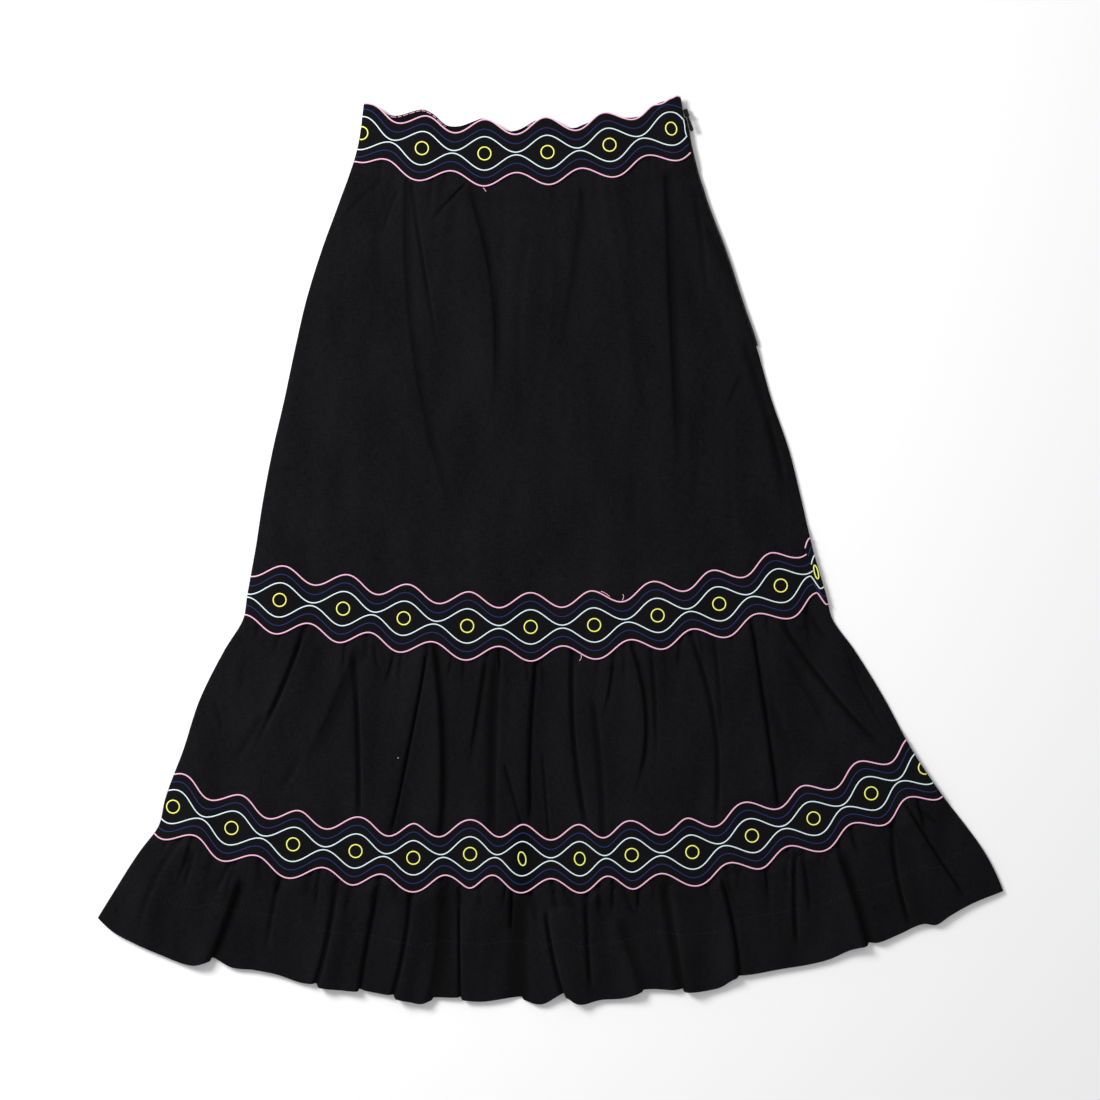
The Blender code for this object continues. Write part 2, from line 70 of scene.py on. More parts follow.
def smooth_curve(knots, values, at):
    """Values on a smooth curve through the knots, which runs straight on past both ends."""
    knots, values, at = (np.asarray(a, float) for a in (knots, values, at))
    slopes = np.gradient(values, knots)
    inside = np.clip(at, knots[0], knots[-1])
    i = np.clip(np.searchsorted(knots, inside, side="right") - 1, 0, len(knots) - 2)
    span = knots[i + 1] - knots[i]
    f = (inside - knots[i]) / span
    value = values[i] + (values[i + 1] - values[i]) * f * f * (3 - 2 * f)
    value = value + span * (slopes[i] * f * (1 - f) ** 2 - slopes[i + 1] * f * f * (1 - f))
    beyond = at - inside
    return value + beyond * np.where(beyond < 0, slopes[0], slopes[-1])


def unit_grid(columns, rows):
    """Places across and down, from 0 to 1, in this many columns and rows of points."""
    return np.meshgrid(np.linspace(0, 1, columns), np.linspace(0, 1, rows))


def table(columns, rows):
    """Rows with named columns."""
    row_type = namedtuple("Row", columns)
    return [row_type(*row) for row in rows]


def curve(rows, key, name, at):
    """A smooth curve through two columns of a table."""
    knots, values = ([getattr(row, column) for row in rows] for column in (key, name))
    return smooth_curve(knots, values, at)


# %% [markdown]
# The skirt's outline comes first, because every piece ends on it: the two side lines from the hem up,
# the middle of each band from ring to ring, and the hem's edge with its waves. The solids have the
# same outline but for a few millimetres. A ring step is the distance from one ring to the next.

# %% Outline tables
SIDES = table("y left right", (
    (-382, -472, 480), (-356, -456, 472), (-311, -427, 450), (-288, -409.5, 433.5), (-259, -402, 411),
    (-207, -383, 376), (-155, -366, 348), (-103, -340, 316), (-68, -319.5, 292), (-51, -317, 288),
    (1, -308, 273), (53, -300, 261), (105, -290, 248), (157, -278, 230),
    (209, -267, 215), (261, -255, 197), (313, -239, 180), (365, -220, 160),
    (417, -202, 145), (472, -194, 135),
))
WAIST_RINGS = table("ring x y", (
    (0, -197, 434.5), (1, -134, 418.5), (2, -69, 413), (3, -3.5, 414.5), (4, 61, 422), (5, 125, 438.7),
))
MID_RINGS = table("ring x y", (
    (0, -282, -51), (1, -216, -60), (2, -153, -70), (3, -87, -78), (4, -21, -79),
    (5, 45, -77), (6, 111, -67), (7, 175, -55), (8, 239, -36), (8.5, 272, -23.5),
))
LOW_RINGS = table("ring x y", (
    (0, -393, -266), (1, -332, -288), (2, -268, -305), (3, -203, -312), (4, -143, -319),
    (5, -84, -315), (6, -30, -320), (7, 30, -320), (8, 84, -316), (9, 147, -313),
    (10, 209, -296), (11, 273, -278), (12, 333, -252), (13, 389, -225.5),
))
BANDS = {row.name: row for row in table("name rings start end half scallop wall", (
    # start and end in ring steps, half its width, its scallops' swing, and its solid's wall
    ("waist", WAIST_RINGS, -0.05, 5.27, 26.8, 7.0, 1.6),
    ("mid", MID_RINGS, -0.48, 8.69, 28.0, 8.3, 1.0),
    ("low", LOW_RINGS, -0.2, 12.97, 28.0, 8.3, 1.0),
))}
HEM = table("x y", (
    (-472, -382), (-459, -394), (-434, -408), (-409, -419), (-372, -431), (-347, -427),
    (-334, -433), (-309, -436), (-284, -441), (-259, -450), (-235, -455), (-185, -460),
    (-147, -469), (-135, -471), (-122, -467), (-72, -469), (-35, -466), (-10, -472),
    (15, -464), (28, -471), (53, -467), (77, -465), (102, -457), (140, -459), (165, -457),
    (177, -454), (190, -446), (215, -440), (240, -435), (265, -431), (290, -425), (315, -414),
    (340, -409), (365, -398), (389, -388), (402, -389), (414, -381), (439, -367), (472, -354),
))
CLOTH, GAP, LOFT = 1.2, 0.3, 2.4      # a wall with its seam allowance, a seam's clearance, the tube's loft
EDGE_ROUND = 18.0                     # the front rises to its full loft over this distance from the sides
PRESS_FLAT, PRESS_END = 40.0, 52.0    # a band presses its tiers flat from its middle out to here
ZIP_END, ZIP_ROOM = 214.0, 1.5        # the zip's lower end, and the room it takes under the front
TAPE_REACH, TAPE_FADE = 18.0, 10.0    # the tape's room reaches this far in from the side
TAPE_BELOW, TAPE_EASE = 24.0, 20.0    # and this far below the zip's end


def side_lines(y):
    """The x of the left and right side lines at each y."""
    return curve(SIDES, "y", "left", y), curve(SIDES, "y", "right", y)


def from_side(x, y):
    """How far each point lies inside the nearer side line."""
    left, right = side_lines(y)
    return np.clip(np.minimum(x - left, right - x), 0, None)


def band_middle(name, ring):
    """Points on a band's middle at these ring steps."""
    rows = BANDS[name].rings
    return curve(rows, "ring", "x", ring), curve(rows, "ring", "y", ring)


def band_frame(name, ring):
    """Points on a band's middle, and the direction in which it runs there."""
    x, y = band_middle(name, ring)
    ahead_x, ahead_y = band_middle(name, ring + 0.01)
    length = np.hypot(ahead_x - x, ahead_y - y)
    return x, y, (ahead_x - x) / length, (ahead_y - y) / length


def band_point(name, ring, off):
    """Points this far above a band's middle, square to it."""
    x, y, run_x, run_y = band_frame(name, ring)
    return x - off * run_y, y + off * run_x


def beside_band(name, x, y):
    """The ring step that each point lies beside, and how far above the band's middle it is."""
    steps = np.linspace(BANDS[name].start - 1, BANDS[name].end + 1, 300)
    xs, ys = band_middle(name, steps)
    slant = np.gradient(ys, xs)
    here = np.interp(x, xs, slant)
    off = (y - np.interp(x, xs, ys)) / np.hypot(1, here)
    foot = x + off * here / np.hypot(1, here)
    return np.interp(foot, xs, steps), off


# %% [markdown]
# Heights come next. The back's tiers lie on the table, but over the back's bands, which lie under
# them. The front lies on the back with a little loft, and a little higher over the zip's tape.

# %% How high the layers lie
def back_height(x, y):
    """The lower face of the back's tiers."""
    rise = []
    for name, band in BANDS.items():
        _, off = beside_band(name, x, y)
        pressed = 1 - smooth_step((np.abs(off) - PRESS_FLAT) / (PRESS_END - PRESS_FLAT))
        rise.append(pressed * (band.wall + GAP))
    return np.max(rise, axis=0)


def zip_share(x, y):
    """1 over the zip's tape, fading to 0 beside it and below it."""
    across = 1 - smooth_step((side_lines(y)[1] - x - TAPE_REACH) / TAPE_FADE)
    return across * smooth_step((y - ZIP_END + TAPE_BELOW) / TAPE_EASE)


def front_height(x, y):
    """The lower face of the front's tiers where no fold lifts them."""
    lift = LOFT * (1 - np.exp(-from_side(x, y) / EDGE_ROUND))
    return back_height(x, y) + CLOTH + GAP + lift + ZIP_ROOM * zip_share(x, y)


print("the front lies", round(float(front_height(0.0, 200.0)), 2), "mm up in the middle of the upper tier")

# %% [markdown]
# A tier is a strip between two seams. A point of it is given by how far across and how far down it
# is, from 0 to 1, which is how a grid of cloth is drawn: straight down from seam to seam, then eased
# at both ends so that the strip ends on the skirt's curved side lines.

# %% Where a tier's points lie
TIER_IN_WAISTBAND = 10.0   # the upper tier runs this far up inside the waistband
BACK_HEM_UP = 3.0          # the back's hem lies this far inside the front's


def seam_line(name, across, shift):
    """Points on the seam under a band, moved up by shift."""
    band = BANDS[name]
    x, y = band_middle(name, band.start + (band.end - band.start) * across)
    return x, y + shift


def hem_y(x):
    return curve(HEM, "x", "y", x)


def hem_line(across, shift):
    x = HEM[0].x + (HEM[-1].x - HEM[0].x) * across
    return x, hem_y(x) + shift


def tier_edges(tier, across, back):
    """The top and bottom edges of a tier."""
    if tier == "upper":
        return seam_line("waist", across, TIER_IN_WAISTBAND), seam_line("mid", across, GAP / 2)
    if tier == "middle":
        return seam_line("mid", across, -GAP / 2), seam_line("low", across, GAP / 2)
    return seam_line("low", across, -GAP / 2), hem_line(across, BACK_HEM_UP if back else 0.0)


def tier_points(tier, across, down, back):
    """Points across and down a tier, between its seams and the skirt's side lines."""
    (top_x, top_y), (low_x, low_y) = tier_edges(tier, across, back)
    (end_top_x, end_top_y), (end_low_x, end_low_y) = tier_edges(tier, np.array([0.0, 1.0]), back)
    x = top_x * (1 - down) + low_x * down
    y = top_y * (1 - down) + low_y * down
    sides = side_lines(np.array([end_top_y[i] * (1 - down) + end_low_y[i] * down for i in (0, 1)]))
    for i, share in ((0, 1 - across), (1, across)):
        straight = end_top_x[i] * (1 - down) + end_low_x[i] * down
        x = x + share * (sides[i][i] - straight)
    return x, y


def frame_shift():
    """How far the frame is moved from these tables: its box is centred over the origin."""
    across, down = unit_grid(300, 9)
    low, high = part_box("hem_tier_front")
    shifts = []
    for axis, values in enumerate(tier_points("hem", across, down, False)):
        middle = (values.min() + values.max()) / 2
        shifts.append((low[axis] + high[axis]) / 2 / MM - middle)
    return shifts


SHIFT_X, SHIFT_Y = frame_shift()
print("the frame is moved by", round(SHIFT_X, 2), round(SHIFT_Y, 2), "mm")

# %% [markdown]
# Creases make the cloth. Below each seam the gathers leave narrow valleys that run down the tier and
# die out, each with a softer ridge on one side, where the cloth rolls over. They are uneven, so each
# is listed: three points down its line, how deep and wide the valley is, how high and broad
# the ridge is, and over what share of its length the crease fades, half where none is given. Where
# the breadth is negative the ridge is on the left. Simulation would give folds too, but not these.

# %% Crease tables
Crease = namedtuple("Crease", "x1 y1 x2 y2 x3 y3 depth width ridge spread fade", defaults=[0.5])
CREASES = {"upper": (
    (-180, 382, -200, 364, -219, 345, 2.2, 1.8, 1.2, 10, 0.4),
    (-160, 371, -169, 350, -177, 322, 1.4, 2.2, 0.5, 8),
    (-182, 345, -180, 270, -186, 200, 0.9, 5, 0.6, 12, 0.6),
    (-148, 381, -142, 222, -88, 5, 2.2, 4.6, 2, -16, 0.3),
    (-144, 377, -125, 256, -111, 181, 2.2, 2, 1, 9),
    (-124, 381, -125, 366, -126, 350, 1.5, 2, 0.5, 6),
    (-92, 378, -112, 358, -130, 339, 2, 1.8, 0.8, -8),
    (-83, 375, -60, 280, -66, 110, 3, 4.2, 2.6, -14),
    (-24, 330, -34, 203, -24, 90, 1.1, 4.5, 1.2, 14, 0.6),
    (34, 372, 26, 300, 2, 170, 1.4, 4.2, 1, -12),
    (8, 300, 3, 200, -4, 120, 0.8, 5, 0.8, -14, 0.6),
    (31, 377, 35, 347, 32, 314, 0.9, 3.6, 0.4, -8),
    (78, 374, 86, 300, 84, 210, 0.7, 5, 0.6, 14, 0.6),
    (122, 390, 127, 250, 138, 44, 3.4, 5, 2.6, -15, 0.4),
    (151, 372, 160, 298, 165, 247, 2.2, 3.4, 1, 10),
    (166, 330, 200, 250, 212, 205, 2.6, 3.6, 1.8, 11),
    (203, 212, 226, 138, 247, 28, 3, 3.8, 2, 11, 0.3),
    (196, 177, 188, 160, 179, 144, 1.6, 2.6, 0.8, -8),
    (228, 134, 242, 83, 259, 24, 1.8, 2.5, 1, 8),
    (151, 130, 152, 70, 150, 10, 1, 4.6, 0.6, 12),
    (185, 110, 187, 40, 190, -5, 1, 4.2, 0.6, 10),
    (88, 70, 87, 35, 93, 3, 1, 4, 0.5, 10),
    (-150, 120, -152, 60, -158, 2, 0.8, 4.6, 0.5, 12, 0.6),
    (-290, 83, -270, 86, -249, 88, 1.5, 2, 0.6, 7),
), "middle": (
    (-258, -85, -279, -143, -311, -207, 3.2, 2.6, 3.8, 14, 0.4),
    (-318, -116, -323, -140, -328, -163, 0.8, 4, 0.4, 8),
    (-348, -163, -344, -177, -341, -191, 1.2, 2.5, 0.4, 6),
    (-302, -176, -318, -202, -335, -229, 1.2, 3.5, 0.8, 9),
    (-264, -219, -275, -240, -287, -257, 1.2, 3.5, 0.8, 9),
    (-199, -101, -233, -186, -256, -232, 1.8, 7, 3, -14, 0.4),
    (-204, -120, -200, -191, -200, -292, 3.2, 2.8, 3.8, 11, 0.2),
    (-183, -101, -180, -125, -178, -149, 1.5, 2.2, 0.6, 7),
    (-164, -110, -168, -126, -172, -143, 1.5, 2.2, 0.6, -7),
    (-129, -105, -151, -219, -170, -309, 3.2, 1.8, 4.2, -11, 0.2),
    (-120, -101, -112, -186, -116, -319, 3.2, 4.2, 3.4, -10, 0.2),
    (-67, -110, -77, -177, -88, -247, 2.2, 3, 3.4, -13),
    (-55, -108, -60, -219, -60, -308, 3.4, 5, 4.2, 13, 0.2),
    (-46, -229, -40, -250, -25, -302, 2, 2, 0.8, 8, 0.2),
    (-16, -118, -20, -163, -21, -292, 3.2, 2.8, 4.2, -12, 0.2),
    (-8, -219, -5, -255, 0, -319, 1.6, 1.6, 0.5, 6, 0.2),
    (23, -105, 23, -169, 41, -303, 3.2, 2.8, 4.2, 13, 0.2),
    (45, -163, 51, -219, 55, -317, 2.2, 3.5, 3, 10, 0.2),
    (65, -113, 62, -140, 54, -177, 1.8, 2.4, 0.8, -8),
    (85, -101, 99, -165, 85, -264, 2.6, 3, 3.4, -15, 0.4),
    (105, -108, 109, -163, 109, -229, 2, 2.4, 3, 11),
    (146, -88, 164, -145, 169, -302, 2.4, 2.6, 3.4, 14, 0.2),
    (170, -93, 176, -150, 178, -207, 1.6, 2.4, 0.8, 8),
    (209, -80, 216, -124, 239, -285, 3.2, 2.6, 4.2, -13, 0.2),
    (229, -158, 240, -190, 252, -222, 1.6, 6, 1, 12),
    (244, -80, 285, -138, 357, -216, 3.2, 3, 4.2, 12, 0.3),
    (249, -118, 275, -160, 297, -205, 1.2, 3.5, 0.8, -9),
    (271, -68, 281, -84, 291, -99, 1.8, 3, 0.8, 8),
    (307, -99, 332, -160, 355, -196, 1.2, 1.6, 2, 10, 0.3),
    (-332, -247, -320, -246, -307, -247, 0.9, 1.6, 0.3, 5),
    (-277, -258, -263, -259, -249, -258, 0.9, 1.6, 0.3, 5),
), "hem": (
    (-323, -347, -331, -372, -359, -440, 3.4, 5, 5.5, -15, 0),
    (-373, -319, -378, -338, -383, -358, 1.8, 2.4, 0.8, 8),
    (-387, -302, -414, -347, -431, -405, 1.5, 3.4, 3, 12, 0.4),
    (-336, -330, -343, -344, -351, -358, 1.8, 2.4, 0.8, 8),
    (-282, -342, -288, -370, -298, -430, 1.8, 2.6, 3, 14),
    (-223, -347, -228, -385, -248, -465, 3.4, 3, 5.5, 13, 0),
    (-178, -344, -187, -385, -200, -465, 2.6, 3, 4.5, -12, 0),
    (-145, -358, -150, -400, -164, -465, 3.2, 2.6, 5.5, 12, 0),
    (-111, -342, -111, -385, -124, -475, 2.2, 8, 3.5, -14, 0),
    (-95, -355, -95, -405, -94, -475, 2.6, 1.6, 1, 8, 0),
    (-76, -345, -77, -400, -80, -463, 0.6, 5, 2.5, 14, 0.4),
    (-41, -347, -42, -372, -42, -400, 3, 1.8, 3.5, -11, 0.4),
    (-31, -350, -32, -400, -30, -475, 2.6, 10, 0, 10, 0),
    (-20, -358, -17, -375, -13, -392, 1.8, 2, 0.8, 8),
    (-4, -382, 1, -413, 15, -470, 3.4, 2.4, 6, 13, 0),
    (15, -355, 19, -366, 23, -377, 1.6, 2, 0.6, 8),
    (37, -360, 39, -413, 43, -470, 3.2, 2.6, 5.5, 12, 0.3),
    (77, -352, 84, -372, 93, -388, 1.6, 2.2, 0.6, 8),
    (72, -385, 84, -415, 98, -465, 1.8, 6, 4.5, -14, 0),
    (118, -344, 129, -413, 138, -465, 3.4, 5, 5.5, 14, 0),
    (179, -347, 188, -385, 196, -455, 3.2, 2.8, 6, -13, 0.2),
    (220, -330, 225, -380, 230, -440, 0.8, 5, 2.5, 14, 0.4),
    (254, -319, 254, -370, 257, -420, 3.2, 2.6, 5, 12, 0.3),
    (261, -317, 266, -350, 271, -385, 1.8, 2.4, 0.8, -8),
    (302, -317, 316, -358, 332, -415, 3.4, 5, 5.5, -15, 0),
    (355, -291, 359, -330, 376, -395, 3.2, 2.6, 5, 12, 0.2),
    (372, -269, 397, -310, 434, -365, 2.8, 2, 4.2, -12, 0.2),
    (380, -266, 396, -278, 413, -289, 1.8, 2, 0.8, 8),
)}
CREASES = {tier: [Crease(*row) for row in rows] for tier, rows in CREASES.items()}
CREASE_RUN_UP = 10.0      # a crease starts this far before its first point, under the band
CREASE_OPENS = 8.0, 3.0   # and opens over this far at least, or over this many of its widths
PLEAT_START = 26.0        # small pleats start this far below their band's middle, under its edge
PLEAT_SLANT = 0.5         # they slant this much more from side to side
PLEATS = table("tier band count seed longest deepest", (
    ("upper", "waist", 10, 21, 40.0, 1.2), ("middle", "mid", 22, 22, 55.0, 1.8),
    ("hem", "low", 36, 24, 62.0, 2.2),
))


def small_pleats(row):
    """Short creases below a band where its gathers are sewn in, uneven in place, length and depth."""
    draw = np.random.default_rng(row.seed)
    band = BANDS[row.band]
    pleats = []
    for share in (np.arange(row.count) + draw.uniform(0.1, 0.9, row.count)) / row.count:
        x, y = (float(v) for v in band_middle(row.band, band.start + (band.end - band.start) * share))
        y = y - PLEAT_START
        length, depth = draw.uniform(0.4, 1.0) * row.longest, draw.uniform(0.4, 1.0) * row.deepest
        run = length * (PLEAT_SLANT * (share - 0.5) + draw.uniform(-0.16, 0.16))
        bow = draw.uniform(-1.5, 1.5)
        width, ridge = draw.uniform(1.4, 2.8), draw.uniform(0.2, 0.9)
        pleats.append(Crease(x, y, x + run / 2 + bow, y - length / 2, x + run, y - length,
                             depth, width, ridge, 7 * draw.choice((-1, 1)), 0.6))
    return pleats


def on_crease(crease, x, y):
    """How far right of a crease's line each point is, and how much of the crease there is there."""
    run_x, run_y = crease.x3 - crease.x1, crease.y3 - crease.y1
    length = math.hypot(run_x, run_y)
    run_x, run_y = run_x / length, run_y / length

    def place(px, py):
        along = (px - crease.x1) * run_x + (py - crease.y1) * run_y
        return along / length, (py - crease.y1) * run_x - (px - crease.x1) * run_y

    along, off = place(x, y)
    middle_along, middle_off = place(crease.x2, crease.y2)
    inside = np.clip(along, 0, 1)
    off = off - middle_off * inside * (1 - inside) / (middle_along * (1 - middle_along))
    opens = max(CREASE_OPENS[0], CREASE_OPENS[1] * crease.width)
    share = smooth_step((along * length + CREASE_RUN_UP) / opens)
    if crease.fade:
        share = share * (1 - smooth_step((along - 1 + crease.fade) / crease.fade))
    return off, share


print("creases placed by hand:", {tier: len(rows) for tier, rows in CREASES.items()})
for row in PLEATS:
    CREASES[row.tier] += small_pleats(row)
print("with the small pleats:", {tier: len(rows) for tier, rows in CREASES.items()})

# %% [markdown]
# From the creases, small even gathers and a slight overall unevenness, this cell works out the front's
# upper face. Ridges end at the bands, which hold the cloth down; valleys run on under them. At the
# sides the cloth rolls over to meet the back.

# %% The front's upper face
GATHERS = {row.tier: row for row in table("tier band count height reach", (
    ("upper", "waist", 12, 0.9, 210.0), ("middle", "mid", 21, 1.0, 70.0), ("hem", "low", 26, 1.0, 60.0),
))}
GATHER_WANDER = 0.35      # how unevenly the gathers are spaced, in gathers
DEEPER = {"upper": 0.85, "middle": 1.3, "hem": 1.4}   # the valleys go this much deeper than in the tables
RISE = {"upper": 0.5, "middle": 0.7, "hem": 0.9}      # and the ridges rise this much of theirs
VALLEY_WIDTHS = 0.85, 1.25         # a valley is this much as wide on its ridge's side and on the other
VALLEY_WALLS = 4.0, 2.2            # and its wall this steep: more is steeper
SWELL, SWELL_SIZE = 0.3, 60.0      # height and length of the cloth's slight swells
SHELL = 0.6               # the shell's thickness, thinner than the solid's wall
RELEASE = 14.0            # past a band's edge the cloth is free again over this distance
FOLD_EDGE = 14.0          # folds die out over this distance from the sides
SIDE_ROUND = 2.5          # radius of the roll at the side lines
CLEAR = 0.1               # the least room between two layers of cloth
LOWEST = 2 * SHELL + CLEAR         # the front's upper face is at least this far above the back's lower
TAPE_ROOM = 1.9           # and this much more over the tape
HEM_TURN, TURNED_UP = 60.0, 0.5    # the hem is turned up this far, and its second layer adds this much
NOTCH, NOTCH_REACH = 1.1, 9.0      # a fold takes this many times its depth off the hem's edge beside it
PUCKER_STEP, PUCKER_REACH, PUCKER = 8.8, 7.0, 0.9     # the puckers beside the zip: step, reach and height


def unevenness(x, y, seed, size):
    """Slight random swells from 1 down to -1, of about this size, the same in each run."""
    draw = np.random.default_rng(seed)
    total = np.zeros_like(x)
    for _ in range(9):
        angle, start = draw.uniform(0, 2 * math.pi, 2)
        length = size * draw.uniform(0.6, 1.8)
        total += np.sin((x * math.cos(angle) + y * math.sin(angle)) * 2 * math.pi / length + start)
    return total / 5


def held_by_bands(x, y):
    """1 under a band, fading to 0 past its scalloped edge."""
    held = []
    for name, band in BANDS.items():
        ring, off = beside_band(name, x, y)
        edge = band.half + band.scallop * np.cos(2 * math.pi * ring)
        held.append(1 - smooth_step((np.abs(off) - edge) / RELEASE))
    return np.max(held, axis=0)


def gather_height(tier, x, y):
    """Small uneven waves below a gathered seam."""
    row = GATHERS[tier]
    left, right = side_lines(y)
    across = (x - left) / (right - left)
    _, off = beside_band(row.band, x, y)
    wander = GATHER_WANDER * (np.sin(17.0 * across) + np.sin(41.0 * across + 1.0))
    wave = 0.5 - 0.5 * np.cos(2 * math.pi * (row.count * across + wander))
    return row.height * wave * np.exp(-np.clip(-off - PRESS_FLAT, 0, None) / row.reach)


def puckered(x, y):
    """From -1 to 1 over the puckers beside the zip, and 0 elsewhere."""
    inward = np.clip(side_lines(y)[1] - x, 0, None)
    beside = np.exp(-inward / PUCKER_REACH) * smooth_step((y - ZIP_END) / TAPE_EASE)
    return np.sin(2 * math.pi * y / PUCKER_STEP + 1.3 * np.sin(y / 23)) * beside


def folds(tier, x, y):
    """How high the ridges and how deep the valleys are."""
    ridges = gather_height(tier, x, y) + SWELL * unevenness(x, y, 5, SWELL_SIZE)
    valleys = np.zeros_like(x)
    for crease in CREASES[tier]:
        off, share = on_crease(crease, x, y)
        beside = off / crease.spread
        ridges += RISE[tier] * crease.ridge * np.exp(-(beside - 0.5) ** 2) * share
        away = np.abs(off) / (crease.width * np.where(beside > 0, *VALLEY_WIDTHS))
        form = np.exp(-away ** np.where(beside > 0, *VALLEY_WALLS))
        valleys += DEEPER[tier] * crease.depth * form * share
    return ridges, valleys


def hem_notches(x, y):
    """How far the folds draw up the hem's edge: it climbs towards a fold and drops back at its ridge."""
    drawn = np.zeros_like(x)
    for crease in CREASES["hem"]:
        off, share = on_crease(crease, x, y)
        beside = -off * np.sign(crease.spread)
        near = np.exp(-np.clip(beside, 0, None) / NOTCH_REACH) * smooth_step(beside / 2 + 1)
        drawn += crease.depth * share * near
    return NOTCH * drawn


def front_top(tier, x, y):
    """The front's upper face with all its folds."""
    ridges, valleys = folds(tier, x, y)
    free = smooth_step(from_side(x, y) / FOLD_EDGE)
    height = front_height(x, y) + CLOTH + (ridges * (1 - held_by_bands(x, y)) - valleys) * free
    if tier == "hem":
        height = height + TURNED_UP * smooth_step((HEM_TURN - y + hem_y(x)) / 2)
    if tier == "upper":
        height = height + PUCKER * puckered(x, y)
    return rolled_side(x, y, np.maximum(height, lowest_front(x, y)))


def lowest_front(x, y):
    return back_height(x, y) + LOWEST + TAPE_ROOM * zip_share(x, y)


def rolled_side(x, y, height, above=0.0):
    """The height, rounded down at the side lines to meet the back."""
    inward = 1 - np.clip(from_side(x, y) / SIDE_ROUND, 0, 1)
    floor = lowest_front(x, y) + above
    return floor + (height - floor) * np.sqrt(np.clip(1 - inward ** 2, 0, 1))


# %% [markdown]
# Colours are written as sRGB hex codes, as they are read from a photo, and one function turns them
# linear for the shaders. A second small function adds a node and sets or links its inputs, so that
# each material below reads as a short list of what the cloth or thread really has.

# %% Colour and node helpers
def linear(hex_code):
    parts = [int(hex_code[i:i + 2], 16) / 255 for i in (0, 2, 4)]
    return [c / 12.92 if c <= 0.04045 else ((c + 0.055) / 1.055) ** 2.4 for c in parts] + [1.0]


def add_node(tree, kind, settings=None, output=0):
    """Adds a shader node, sets or links each of its settings, and returns one of its outputs."""
    node = tree.nodes.new("ShaderNode" + kind)
    for name, value in (settings or {}).items():
        if isinstance(value, bpy.types.NodeSocket):
            tree.links.new(value, node.inputs[name])
        elif isinstance(name, str) and hasattr(node, name):
            setattr(node, name, value)
        else:
            node.inputs[name].default_value = value
    return node.outputs[output]


def maths(tree, operation, first, second):
    return add_node(tree, "Math", {"operation": operation, 0: first, 1: second})


def mixed(tree, share, first, second):
    """A colour from the first to the second."""
    return add_node(tree, "Mix", {"data_type": "RGBA", 0: share, 6: first, 7: second}, 2)


def new_material(name, settings):
    """A material with these values on its shader's own sockets, and its node tree."""
    made = bpy.data.materials.new(name)
    made.use_nodes = True
    for socket, value in settings.items():
        made.node_tree.nodes["Principled BSDF"].inputs[socket].default_value = value
    return made, made.node_tree


def finish_material(made, colour, height, strength, depth_mm):
    """Links the colour, and a bump of this height, to the material's shader."""
    tree = made.node_tree
    shader = tree.nodes["Principled BSDF"]
    bump = add_node(tree, "Bump", {"Strength": strength, "Distance": depth_mm * MM, "Height": height})
    tree.links.new(colour, shader.inputs["Base Color"])
    tree.links.new(bump, shader.inputs["Normal"])
    return made


def wave_scale(period_mm):
    """The Wave texture's scale that gives this period on coordinates in metres."""
    return math.pi / 10 / (period_mm * MM)


# %% [markdown]
# Cotton poplin is a plain weave of fine matt yarns. Up close it has a tiny rib both ways, and from a
# step away it is an even black that takes the light a little unevenly, with slubs where a yarn is
# thicker. Its specular level is far below the usual half, since black dyed fibres scatter what
# little light comes back. The weave reads the cloth's own UV map, in metres, so it follows the folds.

# %% Cloth materials
YARN_MM = 0.7           # real yarns are 0.3 mm apart: drawn coarser, so that the weave shows close up
SLUB_MM = 9.0           # length of the uneven stretches in a yarn
FOLD_SHADE_BLACK = "050506"   # painted shade: the near black painted deep in a fold's valley, where little light reaches


def woven_cotton(name, dark, light, rough):
    """Plain-woven cotton, with slubs along both yarns, a soft random unevenness in its dyed colour, and
    painted shade deep in its folds.
    """
    made, tree = new_material(name, {
        "Roughness": rough, "Specular IOR Level": 0.04, "Sheen Weight": 0.03, "Sheen Roughness": 0.5,
    })
    uv = add_node(tree, "TexCoord", output="UV")
    place = add_node(tree, "TexCoord", output="Object")
    drawn = add_node(tree, "Mapping", {"Scale": (1, 0.3, 1), "Vector": place})
    dye_tone_and_fold_shade = add_node(tree, "TexNoise", {"Scale": 30.0, "Detail": 3.0, "Vector": drawn})
    slubs, ribs = [], []
    for stretch, direction in (((1, 8, 1), "X"), ((8, 1, 1), "Y")):
        along = add_node(tree, "Mapping", {"Scale": stretch, "Vector": uv})
        slubs.append(add_node(tree, "TexNoise", {
            "Scale": 1 / (SLUB_MM * MM), "Detail": 2.0, "Vector": along,
        }))
        ribs.append(add_node(tree, "TexWave", {
            "bands_direction": direction, "Scale": wave_scale(YARN_MM), "Distortion": 0.6, "Vector": uv,
        }, "Fac"))
    both = maths(tree, "ADD", *slubs)
    tone = add_node(tree, "MapRange", {
        "From Min": 1.1, "From Max": 1.9, "Value": maths(tree, "ADD", both, dye_tone_and_fold_shade),
    })
    # painted shade: this per-point share mixes the colour towards near black in the valleys of the folds,
    # where shade falls
    kept = add_node(tree, "Attribute", {"attribute_name": "kept_dye"}, "Fac")
    colour = mixed(tree, kept, mixed(tree, tone, linear(dark), linear(light)), linear(FOLD_SHADE_BLACK))
    height = maths(tree, "ADD", maths(tree, "MULTIPLY", *ribs), both)
    return finish_material(made, colour, height, 0.35, 0.12)


poplin = woven_cotton("black_cotton_poplin", "08080A", "151517", 0.95)
band_cotton = woven_cotton("stiffened_band_cotton", "0A0A0C", "111114", 0.9)
print("cloth materials:", poplin.name, band_cotton.name)

# %% [markdown]
# The stitched lines are rayon thread in close satin stitch. Rayon has a soft gloss along each stitch,
# and the stitches lie side by side across the line, so each line looks like a fine twisted cord. The
# stitches follow the line's own UV map: along it in metres, and across it.

# %% Thread materials
STITCH_MM = 0.9         # real stitches are 0.4 mm apart: drawn coarser, so that they show close up


